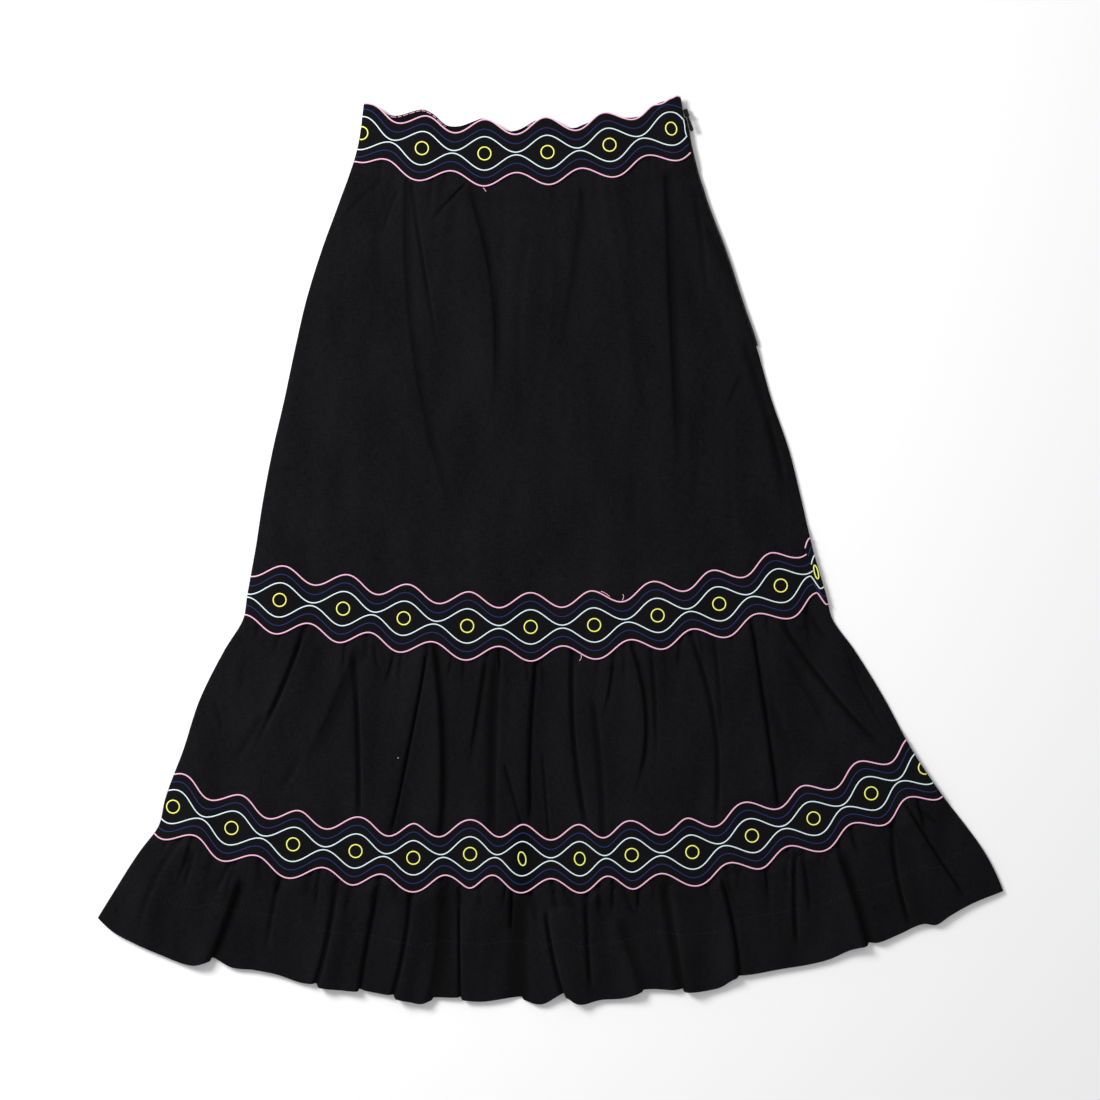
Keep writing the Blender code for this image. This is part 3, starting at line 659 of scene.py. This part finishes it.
def satin_stitch(name, dark, light, gloss=0.3):
    """Close satin stitches across a line, each painted lighter and darker across it as highlight and
    shade, and a little uneven in tone at random.
    """
    made, tree = new_material(name, {
        "Roughness": 0.55, "Specular IOR Level": gloss, "Sheen Weight": gloss / 3, "Sheen Roughness": 0.4,
    })
    uv = add_node(tree, "TexCoord", output="UV")
    slant = add_node(tree, "Mapping", {"Rotation": (0, 0, math.radians(12)), "Vector": uv})
    stitch = add_node(tree, "TexWave", {
        "Scale": wave_scale(STITCH_MM), "Distortion": 0.8, "Detail": 1.0, "Vector": slant,
    }, "Fac")
    worn = add_node(tree, "TexNoise", {"Scale": 260.0, "Vector": uv})
    # painted highlight and shade: the colour runs from the dark tone to the light one across each stitch,
    # following its wave, with random noise on top
    tone = add_node(tree, "MapRange", {
        "From Min": 0.2, "From Max": 1.4, "Value": maths(tree, "ADD", stitch, worn),
    })
    return finish_material(made, mixed(tree, tone, linear(dark), linear(light)), stitch, 0.5, 0.2)


THREADS = {
    "pink": satin_stitch("pink_rayon_thread", "D69AB5", "F9BFDB"),
    "navy": satin_stitch("navy_rayon_thread", "131849", "272F63", 0.08),
    "aqua": satin_stitch("pale_aqua_rayon_thread", "C0D2D9", "E6F9FD"),
    "yellow": satin_stitch("yellow_rayon_thread", "DCE159", "FCFE7A"),
    "black": satin_stitch("black_sewing_thread", "0C0C0E", "1A1A1C", 0.1),
}
print("threads:", ", ".join(THREADS))

# %% [markdown]
# A concealed zip is a woven polyester tape with nylon teeth, and its slider and pull are zinc, cast
# and lacquered black. The tape has a fine rib along it. Lacquer is a clear hard coat over black, so
# it gets a coat, and small noise in its bump for the cast skin underneath. Nylon has no coat.

# %% Zip materials
TAPE_RIB_MM = 1.1


def zip_tape_finish():
    made, tree = new_material("black_woven_zip_tape", {
        "Roughness": 0.8, "Specular IOR Level": 0.2, "Sheen Weight": 0.05,
    })
    place = add_node(tree, "TexCoord", output="Object")
    rib = add_node(tree, "TexWave", {
        "Scale": wave_scale(TAPE_RIB_MM), "Distortion": 0.4, "Vector": place,
    }, "Fac")
    return finish_material(made, mixed(tree, rib, linear("0C0C0E"), linear("151517")), rib, 0.4, 0.2)


def hard_black(name, settings, dark, light):
    """A hard black with a fine grain in its colour and its skin."""
    made, tree = new_material(name, settings)
    place = add_node(tree, "TexCoord", output="Object")
    grain = add_node(tree, "TexNoise", {"Scale": 900.0, "Detail": 2.0, "Vector": place})
    return finish_material(made, mixed(tree, grain, linear(dark), linear(light)), grain, 0.2, 0.1)


TAPE_FINISH = zip_tape_finish()
LACQUER = hard_black("black_lacquered_zinc", {
    "Roughness": 0.5, "Specular IOR Level": 0.15, "Coat Weight": 0.1, "Coat Roughness": 0.25,
}, "050506", "0B0B0C")
NYLON = hard_black("black_nylon_teeth", {"Roughness": 0.5, "Specular IOR Level": 0.25}, "08080A", "111113")
for node, finish in (("zip_tape", TAPE_FINISH), ("zip_slider", LACQUER), ("zip_pull", LACQUER)):
    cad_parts[node].data.materials.clear()
    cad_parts[node].data.materials.append(finish)
print("zip finishes:", TAPE_FINISH.name, LACQUER.name, NYLON.name)

# %% [markdown]
# Every panel is drawn the same way: a grid primitive is added, its points are moved to their places,
# and Solidify gives it its thickness, inwards. A sculpted plane would do too, but a grid keeps its
# rows and columns along the cloth, which gives the weave its direction.

# %% Making a sheet
def new_object(name, operator, **settings):
    """The object that an operator adds, with nothing else selected."""
    bpy.ops.object.select_all(action="DESELECT")
    operator(**settings)
    obj = bpy.context.object
    obj.name = obj.data.name = name
    return obj


def sheet_from_grid(name, x, y, z, cloth_size, back=False, thickness=SHELL, across=None, kept_dye=None):
    """A sheet of cloth through these points, in rows from the top and columns from the left."""
    rows, columns = x.shape
    obj = new_object(name, bpy.ops.mesh.primitive_grid_add, size=2,
                     x_subdivisions=columns - 1, y_subdivisions=rows - 1)
    mesh = obj.data
    moved = np.stack([x + SHIFT_X, y + SHIFT_Y, z], axis=2)[::-1] * MM    # the grid's own rows run up
    mesh.vertices.foreach_set("co", moved.astype(np.float32).ravel())
    even, up = unit_grid(columns, rows)
    across = even if across is None else across[::-1]
    corners = np.empty(len(mesh.loops), np.int32)
    mesh.loops.foreach_get("vertex_index", corners)
    spots = np.stack([across * cloth_size[0], up * cloth_size[1]], axis=2).reshape(-1, 2)[corners]
    mesh.uv_layers[0].uv.foreach_set("vector", spots.astype(np.float32).ravel())
    if back:
        mesh.flip_normals()
    # painted shade: the share of near black painted into each point's colour, in the valleys of the folds
    if kept_dye is not None:
        dye_tone_and_fold_shade = mesh.attributes.new("kept_dye", "FLOAT", "POINT")
        dye_tone_and_fold_shade.data.foreach_set("value", kept_dye[::-1].astype(np.float32).ravel())
    wall = obj.modifiers.new("thickness", "SOLIDIFY")
    wall.thickness = thickness * MM
    wall.offset = -1
    bpy.ops.object.modifier_apply(modifier=wall.name)
    bpy.ops.object.shade_smooth_by_angle(angle=math.radians(60))
    return obj


def finish_piece(obj, material, slot, *stands_for):
    """The piece gets its material, rides on the garment and stands for its solids."""
    obj.data.materials.clear()
    obj.data.materials.append(material)
    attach(obj, "garment")
    if stands_for:
        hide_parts(*stands_for)
    print(obj.name, len(obj.data.polygons), "faces")
    return obj


# %% [markdown]
# The tiers. Narrow creases need fine columns and flat cloth doesn't, so the columns crowd towards the
# creases in each row: the share of columns left of a point is the summed nearness to creases. The back
# lies face down on the table, pressed flat, with fewer points, shallow gathers of its own, and
# creases that mirror the front's and are less deep.

# %% Tiers
TIERS = table("tier front back cloth", (
    # grid of the front and of the back as columns and rows, and the flat cloth in metres
    ("upper", (250, 138), (150, 90), (0.60, 0.50)),
    ("middle", (470, 66), (260, 42), (1.00, 0.25)),
    ("hem", (560, 58), (320, 34), (1.19, 0.16)),
))
CROWDING, CROWD_WIDTH = 3.0, 4.0   # columns are this much closer within this distance of a crease
EVENED = 4                         # and each follows the mean of its places in this many rows both ways
BACK_GATHER = 0.6                  # depth of the back's gathers, pressed by the table
BACK_CREASE = 0.4                  # and its creases are this much as deep as the front's
SHADE_FULL_DEPTH, FOLD_SHADE_MOST = 4.0, 0.8   # a valley this deep gets this share of the painted shade's near black


def crowded_columns(tier, columns, rows):
    """Places across each row, closer together at creases and at the sides."""
    across, down = unit_grid(1501, rows + 1)
    x, y = tier_points(tier, across, down, False)
    near = np.exp(-from_side(x, y) / CROWD_WIDTH)
    for crease in CREASES[tier]:
        if abs(crease.y3 - crease.y1) > abs(crease.x3 - crease.x1):
            off, share = on_crease(crease, x, y)
            pull = share * min(1, crease.depth / 2) * np.exp(-(off / CROWD_WIDTH) ** 2)
            near = np.maximum(near, pull)
    total = np.cumsum(1 + CROWDING * near, axis=1)
    total = (total - total[:, :1]) / (total[:, -1:] - total[:, :1])
    even = np.linspace(0, 1, columns + 1)
    places = np.array([np.interp(even, row, across[0]) for row in total])
    padded = np.pad(places, ((EVENED, EVENED), (0, 0)), mode="edge")
    places = sum(padded[n:n + rows + 1] for n in range(2 * EVENED + 1)) / (2 * EVENED + 1)
    return places, down[:, :1]


def back_low(tier, x, y):
    """The back's lower face: on the table but for gathers, and creases that mirror the front's."""
    free = (1 - held_by_bands(x, y)) * smooth_step(from_side(x, y) / FOLD_EDGE)
    waves = (gather_height(tier, x, y) / GATHERS[tier].height) ** 3
    left, right = side_lines(y)
    creases = folds(tier, left + right - x, y)[1]
    room = front_top(tier, x, y) - back_height(x, y) - LOWEST
    return back_height(x, y) + np.minimum((BACK_GATHER * waves + BACK_CREASE * creases) * free, room)


for row in TIERS:
    across, down = crowded_columns(row.tier, *row.front)
    x, y = tier_points(row.tier, across, down + 0 * across, False)
    z = front_top(row.tier, x, y)
    if row.tier == "hem":
        y = y + hem_notches(x, y) * down ** 5
    if row.tier == "upper":
        x = x + PUCKER * puckered(x, y)
    # painted shade: each point is darkened by how deep its valley is, standing in for the shade in the
    # folds
    dye_tone_and_fold_shade = np.clip(folds(row.tier, x, y)[1] / SHADE_FULL_DEPTH, 0, 1) * FOLD_SHADE_MOST
    name = f"{row.tier}_tier_front"
    front = sheet_from_grid(name + "_cloth", x, y, z, row.cloth, across=across, kept_dye=dye_tone_and_fold_shade)
    finish_piece(front, poplin, "black_cotton", name)
    across, down = unit_grid(*(count + 1 for count in row.back))
    x, y = tier_points(row.tier, across, down, True)
    name = f"{row.tier}_tier_back"
    back = sheet_from_grid(name + "_cloth", x, y, back_low(row.tier, x, y), row.cloth, True)
    finish_piece(back, poplin, "black_cotton", name)

# %% [markdown]
# The bands are strips of stiffer cotton, cut in scallops: their edge swings out at each ring and in
# between, as a cosine does. Each row of the grid starts and ends where it meets the skirt's side.
# At the mid band's right end the back band comes round to the front and doesn't meet it exactly.

# %% Bands
BAND_SHELL = 0.8          # thickness of a band
BAND_UP = {"waist": 2.6, "mid": 2.25, "low": 2.25}    # its upper face above the front tiers' lower face
BAND_SWELL, BAND_SWELL_SIZE = 0.25, 45.0              # height and length of its slight swells
BACK_FACE = 0.45          # the back bands' lower face: their stitches reach down to the table
BACK_WAIST_EDGE = table("ring off", (
    (-0.3, 28.6), (0, 32.6), (0.12, 29.6), (0.29, 26.6), (0.48, 28.4), (0.67, 35.4), (0.87, 40.9),
    (1.1, 37.8), (1.32, 28.6), (1.57, 28.3), (1.78, 33.6), (1.96, 37.8), (2.2, 30.6), (2.41, 24.4),
    (2.5, 25.0),
    (2.6, 27.0), (2.8, 33.8), (3, 36.1), (3.2, 30.2), (3.4, 24.0), (3.5, 23.9), (3.6, 25.8), (3.8, 28.8),
    (4, 33.8), (4.2, 28.8), (4.4, 24.2), (4.5, 22.9), (4.6, 22.2), (4.7, 25.6), (4.78, 27.8), (4.86, 29.6),
    (4.95, 30.7), (5.03, 30.6), (5.12, 29.6), (5.25, 28.0), (5.4, 24.6),
))
LIMP_ENDS = table("mean side ring reach off", (
    # on which of the front waistband's lines, at which ring step, over what reach and how far off
    (26.8, 1, 4.97, 0.13, -5.9), (26.8, 1, 5.24, 0.07, 4.0), (26.8, 1, 2, 0.25, 1.4),
    (26.8, 1, 3, 0.25, 2.2), (26.8, 1, -0.05, 0.2, -2.4), (26.8, -1, 0.02, 0.15, 3.4),
    (9.4, 1, 5.27, 0.08, -7.0),
))
TUCK_X, TUCK_WIDTH, TUCK_DEPTH = -29.0, 13.0, 0.5
SEAM_STEPS = table("side ring step", (
    # the pattern's step at these ring steps: the mid band's front, its seam, and the back's end past it
    (1, 8.0, 8.0), (1, 8.25, 8.29), (1, 8.52, 8.58), (1, 8.53, 8.74), (1, 8.66, 9.0), (1, 8.8, 9.1),
    (-1, 8.0, 8.0), (-1, 8.25, 8.28), (-1, 8.46, 8.53), (-1, 8.53, 8.97), (-1, 8.62, 9.12),
    (-1, 8.8, 9.2),
))
SEAM_CUT = 8.52, 8.53     # the upper lines are broken here


def pattern_step(name, side, ring):
    """The step of the pattern that lies at a ring step: past the mid band's seam, the back's shows."""
    if name != "mid":
        return ring
    _, rings, steps = zip(*(row for row in SEAM_STEPS if row.side == side))
    return np.where(ring < 8, ring, np.interp(ring, rings, steps))


def line_off(name, back, side, mean, swing, ring):
    """How far above the band's middle a line runs: a cosine, but where the waistband is limp."""
    if name == "waist" and back and side == 1 and mean == BANDS["waist"].half:
        return curve(BACK_WAIST_EDGE, "ring", "off", ring)
    off = side * (mean + swing * np.cos(2 * math.pi * pattern_step(name, side, ring)))
    for limp in LIMP_ENDS:
        if name == "waist" and not back and (limp.mean, limp.side) == (mean, side):
            off = off + limp.off * np.exp(-((ring - limp.ring) / limp.reach) ** 2)
    return off


def ring_span(name, off_at):
    """The ring steps where a line along a band meets the left and the right side of the skirt."""
    band = BANDS[name]
    ring = np.linspace(band.start - 0.8, band.end + 0.8, 1200)
    x, y = band_point(name, ring, off_at(ring))
    inside = np.flatnonzero(from_side(x, y) > 0)
    return ring[inside[0]], ring[inside[-1]]


def tucked(name, x):
    """1 where the low band is pinched in a shallow tuck, fading to 0 beside it; it also sets the shade
    painted into the tuck.
    """
    return np.exp(-((x - TUCK_X) / TUCK_WIDTH) ** 2) if name == "low" else 0 * x


def band_top(name, x, y):
    """The upper face of a front band."""
    swell = BAND_SWELL * unevenness(x, y, 11, BAND_SWELL_SIZE)
    height = front_height(x, y) + BAND_UP[name] + swell - TUCK_DEPTH * tucked(name, x)
    return rolled_side(x, y, height, BAND_UP[name] - CLOTH)


def make_band_cloth(name, back, columns_per_ring=24, rows=20):
    band = BANDS[name]
    columns = round((band.end - band.start) * columns_per_ring)
    xs, ys = [], []
    for share in np.linspace(0, 1, rows + 1):

        def off_at(ring):
            top, low = (line_off(name, back, side, band.half, band.scallop, ring) for side in (1, -1))
            return top * (1 - share) + low * share

        ring = np.linspace(*ring_span(name, off_at), columns + 1)
        x, y = band_point(name, ring, off_at(ring))
        xs.append(x)
        ys.append(y)
    x, y = np.array(xs), np.array(ys)
    z = BACK_FACE + 0 * x if back else band_top(name, x, y)
    title = "waistband" if name == "waist" else f"{name}_band"
    side = "back" if back else "front"
    size = (abs(x[0, -1] - x[0, 0]) * MM, 2 * band.half * MM)
    # painted shade: the front low band is darkened in its tuck, where shade falls
    kept_dye = None if back else FOLD_SHADE_MOST * tucked(name, x)
    obj = sheet_from_grid(f"{title}_{side}_cloth", x, y, z, size, back, BAND_SHELL, kept_dye=kept_dye)
    return finish_piece(obj, band_cotton, "embroidered_band", f"{title}_{side}")


bands = {}
for name in BANDS:
    bands[name, "front"] = make_band_cloth(name, False)
    bands[name, "back"] = make_band_cloth(name, True, 12, 10)

# %% [markdown]
# The pattern is a traditional border of waves and rings: on each side of the band's middle three
# waves run along it, drawn by one cosine with a mean distance and a swing, and between the innermost
# ones a ring sits at each step. Nothing is traced. Each line is a low rounded cord of satin stitch,
# made as a section led along the line; a bevelled curve would be round and stand too high.

# %% Stitched lines
LINES = {
    "mid": table("thread width height mean swing", (
        ("pink", 1.5, 0.7, 27.8, 7.7), ("navy", 1.2, 0.45, 18.5, 8.3), ("aqua", 1.3, 0.6, 9.7, 8.15),
    )),
    "waist": table("thread width height mean swing", (
        ("pink", 1.5, 0.7, 26.8, 7.0), ("navy", 1.2, 0.45, 17.7, 7.5), ("aqua", 1.3, 0.6, 9.4, 8.0),
    )),
}
LINES["low"] = LINES["mid"]
RING_RADIUS, RING_WIDTH, RING_HEIGHT = 6.7, 1.35, 0.6
SECTION = ((-1, 0), (-0.82, 0.6), (-0.35, 0.96), (0.35, 0.96), (0.82, 0.6), (1, 0))
SUNK = 0.12               # a line's edge lies this far in the cloth
FRONT_STEP, BACK_STEP = 1.6, 2.6
BACK_INSET = 1.3          # the back's pink line lies this far inside its edge
Path = namedtuple("Path", "x y z closed")


def spaced(x, y, step):
    """The same line with its points this far apart."""
    run = np.concatenate([[0], np.cumsum(np.hypot(np.diff(x), np.diff(y)))])
    even = np.linspace(0, run[-1], max(3, round(run[-1] / step)))
    return np.interp(even, run, x), np.interp(even, run, y)


def cord_mesh(name, paths, width, height, up=1):
    """One mesh of low rounded cords along these paths, on top of the cloth or, with up -1, under it."""
    points, faces, spots = [], [], []
    sides = len(SECTION)
    across, rise = np.array(SECTION).T
    step = across * width / 2
    for path in paths:
        line = np.stack([path.x, path.y, path.z], axis=1)
        ahead = np.roll(line, -1, axis=0) - np.roll(line, 1, axis=0)
        if not path.closed:
            ahead[0], ahead[-1] = line[1] - line[0], line[-1] - line[-2]
        ahead = ahead[:, :2] / np.linalg.norm(ahead[:, :2], axis=1, keepdims=True)
        run = np.concatenate([[0], np.cumsum(np.linalg.norm(np.diff(line, axis=0), axis=1))])
        first, count = len(points), len(line)
        x = line[:, :1] - step * ahead[:, 1:] + SHIFT_X
        y = line[:, 1:2] + step * ahead[:, :1] + SHIFT_Y
        z = line[:, 2:] + up * (rise * (height + SUNK) - SUNK)
        points += (np.stack([x, y, z], axis=2).reshape(-1, 3) * MM).tolist()
        for n in range(count if path.closed else count - 1):
            after = (n + 1) % count
            here, there = run[n] * MM, (run[n] + FRONT_STEP if after == 0 else run[after]) * MM
            for s in range(sides):
                t = (s + 1) % sides
                faces.append([first + row * sides + side
                              for row, side in ((n, s), (n, t), (after, t), (after, s))])
                low, high = s / sides * width * MM, (s + 1) / sides * width * MM
                spots += [(here, low), (here, high), (there, high), (there, low)]
        if not path.closed:
            for end in (0, count - 1):
                faces.append([first + end * sides + s for s in range(sides)])
                spots += [(run[end] * MM, part * MM) for part in step]
    mesh = bpy.data.meshes.new(name)
    mesh.from_pydata(points, [], faces)
    mesh.uv_layers.new(name="along").uv.foreach_set("vector", np.array(spots, np.float32).ravel())
    edit = bmesh.new()
    edit.from_mesh(mesh)
    bmesh.ops.recalc_face_normals(edit, faces=edit.faces[:])
    edit.to_mesh(mesh)
    edit.free()
    obj = bpy.data.objects.new(name, mesh)
    bpy.context.scene.collection.objects.link(obj)
    mesh.shade_smooth()
    return obj


def wave_paths(name, row, back):
    """A wave above and below the band's middle, each from side to side."""
    paths = []
    for side in (1, -1):

        def off_at(ring):
            inset = BACK_INSET if back and row.thread == "pink" else 0.0
            return line_off(name, back, side, row.mean, row.swing, ring) - side * inset

        first, last = ring_span(name, off_at)
        cuts = [first, *SEAM_CUT, last] if name == "mid" and side == 1 else [first, last]
        for start, end in zip(cuts[::2], cuts[1::2]):
            ring = np.linspace(start, end, 900)
            x, y = spaced(*band_point(name, ring, off_at(ring)), BACK_STEP if back else FRONT_STEP)
            paths.append(on_band(name, x, y, back, False))
    return paths


def on_band(name, x, y, back, closed):
    z = BACK_FACE + 0 * x if back else band_top(name, x, y)
    return Path(x, y, z, closed)


# %% [markdown]
# The rings are circles on the cloth. Where the low band has a tuck they show narrower, and so does the
# back's ring past the mid band's seam, where the cloth turns away. The one at each end of a band is
# cut by the skirt's side, so only the arc inside the side lines is kept.

# %% Rings
RING_SHAPES = {    # how wide and tall each is beside a round one, and its lean in degrees
    ("low", 6): (0.58, 1.06, 13), ("low", 7): (0.82, 1.0, 3),
    ("waist", 5): (0.84, 1.0, 0), ("mid", 8.56): (0.29, 1.09, -7),
}


def leaning_ring(wide, tall, lean, points):
    """A ring's points about its middle, along the band and up from it."""
    turn = np.linspace(0, 2 * math.pi, points, endpoint=False)
    wide, tall = RING_RADIUS * wide * np.cos(turn), RING_RADIUS * tall * np.sin(turn)
    lean = math.radians(lean)
    return wide * math.cos(lean) - tall * math.sin(lean), wide * math.sin(lean) + tall * math.cos(lean)


def ring_paths(name, back):
    """The band's rings, each cut where it meets the skirt's side."""
    paths = []
    steps = [row.ring for row in BANDS[name].rings if row.ring == int(row.ring)]
    steps += [step for band, step in RING_SHAPES if band == name and step != int(step)]
    for step in steps:
        wide, tall = leaning_ring(*RING_SHAPES.get((name, step), (1, 1, 0)), 32 if back else 40)
        x, y, run_x, run_y = band_frame(name, step)
        x, y = x + wide * run_x - tall * run_y, y + wide * run_y + tall * run_x
        inside = from_side(x, y) > 0
        if inside.all():
            paths.append(on_band(name, x, y, back, True))
        elif inside.sum() > 4:
            start = int(np.flatnonzero(inside & ~np.roll(inside, 1))[0])
            kept = np.roll(inside, -start)
            paths.append(on_band(name, np.roll(x, -start)[kept], np.roll(y, -start)[kept], back, False))
    return paths


stitching = {}
for (name, side), cloth in bands.items():
    back, up = side == "back", -1 if side == "back" else 1
    lines = [(row.thread, wave_paths(name, row, back), row.width, row.height) for row in LINES[name]]
    lines.append(("yellow", ring_paths(name, back), RING_WIDTH, RING_HEIGHT))
    stitching[name, side] = []
    for thread, paths, width, height in lines:
        title = cloth.name.replace("cloth", thread)
        cord = cord_mesh(title, paths, width, BACK_FACE if back else height, up)
        stitching[name, side].append(finish_piece(cord, THREADS[thread], "embroidered_band"))

# %% [markdown]
# Sewing shows in a few places. A running stitch holds up the hem, 60 mm above its edge, where the
# second layer ends. Behind the waistband's front, the bobbin side of the back's pink line shows as a
# thin broken line. Thread ends hang at a few places, where the embroidery starts and stops, and at
# the zip the pale line turns down along the seam to close its last lens.

# %% Sewing
STITCH, STITCH_GAP, STITCH_SUNK = 2.4, 1.6, 0.05
STITCH_EDGE = 2.0         # the hem's stitches stay this far from the side lines
BOBBIN_SPANS = (0.29, 1.36), (2.7, 2.86), (4.84, 5.08)    # where the back's edge shows, in ring steps
BOBBIN_IN = 1.5           # the bobbin line lies this far inside that edge
CLOSING_IN = 1.2          # and the closing line this far inside the side line
THREAD_ENDS = table("thread tier x1 y1 x2 y2 x3 y3", (
    ("pink", "upper", 52, -42, 56, -43.5, 61.6, -47.7),
    ("pink", "upper", 74.9, -45, 75.6, -48, 74.2, -51.5),
    ("pink", "middle", 31.3, -108.2, 31.6, -111, 29.6, -114),
    ("pink", "upper", -70.5, 377.5, -69, 376, -67.4, 373.6),
    ("aqua", "middle", -159.3, -214.9, -158.8, -215.2, -158.3, -215.1),
))


def running_stitch():
    """Short stitches along the hem, where its turned-up layer ends."""
    stitches = []
    for start in np.arange(HEM[0].x + 6, HEM[-1].x - 6, STITCH + STITCH_GAP):
        x = start + STITCH * np.array([0, 0.5, 1])
        y = hem_y(x) + HEM_TURN
        if from_side(x, y).min() > STITCH_EDGE:
            stitches.append(Path(x, y, front_top("hem", x, y) - STITCH_SUNK, False))
    return stitches


def bobbin_line():
    """Pieces of thin line just inside the back waistband's edge, uneven in length."""
    draw = np.random.default_rng(3)
    pieces = []
    for ring, last in BOBBIN_SPANS:
        while ring < last:
            end = ring + draw.uniform(0.05, 0.11)
            steps = np.linspace(ring, end, 5)
            edge = curve(BACK_WAIST_EDGE, "ring", "off", steps)
            x, y = band_point("waist", steps, edge - BOBBIN_IN)
            pieces.append(Path(x, y, BACK_FACE + BAND_SHELL + 0 * x, False))
            ring = end + draw.uniform(0.015, 0.03)
    return pieces


def closing_line():
    """The pale line down the seam at the zip, from the upper wave to the lower one."""
    upper, lower = wave_paths("waist", LINES["waist"][2], False)
    y = np.linspace(upper.y[-1], lower.y[-1], 14)
    x = side_lines(y)[1] - CLOSING_IN + 0.25 * np.sin(y / 2)
    return [on_band("waist", x, y, False, False)]


sewing = {}
for title, thread, paths, width, height, slot in (
    ("hem_stitch", "black", running_stitch(), 0.8, 0.35, "black_cotton"),
    ("bobbin_line", "pink", bobbin_line(), 0.8, 0.3, "embroidered_band"),
    ("closing_line", "aqua", closing_line(), 1.0, 0.45, "embroidered_band"),
):
    cord = cord_mesh(title, paths, width, height)
    sewing[title] = finish_piece(cord, THREADS[thread], slot)
for end in THREAD_ENDS:
    ring = np.linspace(0, 1, 7)
    x = smooth_curve((0, 0.5, 1), (end.x1, end.x2, end.x3), ring)
    y = smooth_curve((0, 0.5, 1), (end.y1, end.y2, end.y3), ring)
    z = np.maximum(front_top(end.tier, x, y), front_height(x, y) + CLOTH) + 0.6
    cord = cord_mesh(f"thread_end_{len(sewing)}", [Path(x, y, z, False)], 0.7, 0.4)
    sewing[cord.name] = finish_piece(cord, THREADS[end.thread], "embroidered_band")

# %% [markdown]
# The zip's teeth are one small rounded block of nylon, repeated down the tape: an array gives the
# row, and a curve along the side seam bends it. They stand out past the solid's plain edge.

# %% Zip teeth
TOOTH, TOOTH_STEP = (1.0, 2.4, 2.2), 1.6    # length along the zip, width and height, and the spacing
TOOTH_ROUND = 0.3
TEETH_TOP, TEETH_OUT, TEETH_UP = 448.0, 1.7, 2.1    # where the row ends, and its middle's place


def zip_teeth():
    """The row of closed teeth down the side seam."""
    y = np.linspace(TEETH_TOP, ZIP_END + 1, 60)
    x = side_lines(y)[1] + TEETH_OUT
    z = back_height(x, y) + TEETH_UP
    seam = new_object("zip_seam", bpy.ops.curve.primitive_nurbs_path_add)
    seam.data.splines.clear()
    line = seam.data.splines.new("POLY")
    line.points.add(len(y) - 1)
    for point, place in zip(line.points, zip(x + SHIFT_X, y + SHIFT_Y, z)):
        point.co = (*(c * MM for c in place), 1)
    seam.data.twist_mode = "Z_UP"
    count = int(float(np.hypot(np.diff(x), np.diff(y)).sum()) / TOOTH_STEP)
    teeth = new_object("zip_teeth", bpy.ops.mesh.primitive_cube_add, size=MM)
    teeth.scale = TOOTH
    bpy.ops.object.transform_apply(scale=True)
    rounded = teeth.modifiers.new("rounded", "BEVEL")
    rounded.width = TOOTH_ROUND * MM
    repeated = teeth.modifiers.new("repeated", "ARRAY")
    repeated.count = count
    repeated.use_relative_offset = False
    repeated.use_constant_offset = True
    repeated.constant_offset_displace = (TOOTH_STEP * MM, 0, 0)
    bent = teeth.modifiers.new("bent", "CURVE")
    bent.object = seam
    bpy.ops.object.convert(target="MESH")
    bpy.data.objects.remove(seam)
    print("teeth:", count, "at a step of", TOOTH_STEP, "mm")
    return teeth


finish_piece(zip_teeth(), NYLON, "zip_tape")

# %% [markdown]
# Each tier's cut size is listed here. The skirt is a tube, so front and back are each half of a tier.
# A gathered tier is cut wider than it lies: by about a tenth for the upper tier, and by a third or
# more for the two below it.

# %% Cut sizes
CUTS = table("tier flat area", (
    ("upper", (0.62, 0.50), 0.255), ("middle", (1.00, 0.24), 0.205), ("hem", (1.19, 0.165), 0.175),
))

# %% [markdown]
# The floor is plain and pale, the light is a soft studio one from all round with a large soft lamp
# at the upper left, and the camera looks straight down at the skirt as the photograph does: a field
# of 1.144 metres at the cloth, through an 85 mm lens, which is 2.7 metres up.

# %% Floor, light and camera
FIELD, LENS, SENSOR = 1.144, 85.0, 36.0     # the field in metres, the lens and sensor in millimetres
CLOTH_TOP = 0.006         # the field is measured at this height
ASIDE = 1.0               # the photograph is framed this many millimetres to the upper left
ROOM_LIGHT, LAMP_WATTS = 0.56, 76
LAMP_SIZE, LAMP_PLACE = 0.9, (-1.7, 1.1, 1.5)
floor = new_object("studio_floor", bpy.ops.mesh.primitive_plane_add, size=8, location=(0, 0, -0.0003))
paper, _ = new_material("white_seamless_paper", {
    "Base Color": (0.9, 0.9, 0.9, 1), "Roughness": 0.9, "Specular IOR Level": 0.1,
})
floor.data.materials.append(paper)

world = bpy.data.worlds.new("soft_studio")
bpy.context.scene.world = world
world.use_nodes = True
world.node_tree.nodes["Background"].inputs["Color"].default_value = (1, 1, 1, 1)
world.node_tree.nodes["Background"].inputs["Strength"].default_value = ROOM_LIGHT

lamp = new_object("large_soft_lamp", bpy.ops.object.light_add, type="AREA", location=LAMP_PLACE)
lamp.data.size = LAMP_SIZE
lamp.data.energy = LAMP_WATTS
lamp.rotation_euler = (-lamp.location).to_track_quat("-Z", "Y").to_euler()

height = FIELD * LENS / SENSOR + CLOTH_TOP
camera = new_object("overhead_camera", bpy.ops.object.camera_add,
                    location=((SHIFT_X - ASIDE) * MM, (SHIFT_Y + ASIDE) * MM, height))
camera.data.lens = LENS
camera.data.sensor_width = SENSOR
bpy.context.scene.camera = camera
bpy.context.scene.view_settings.view_transform = "Standard"
print("camera", round(camera.location.z, 3), "m up")
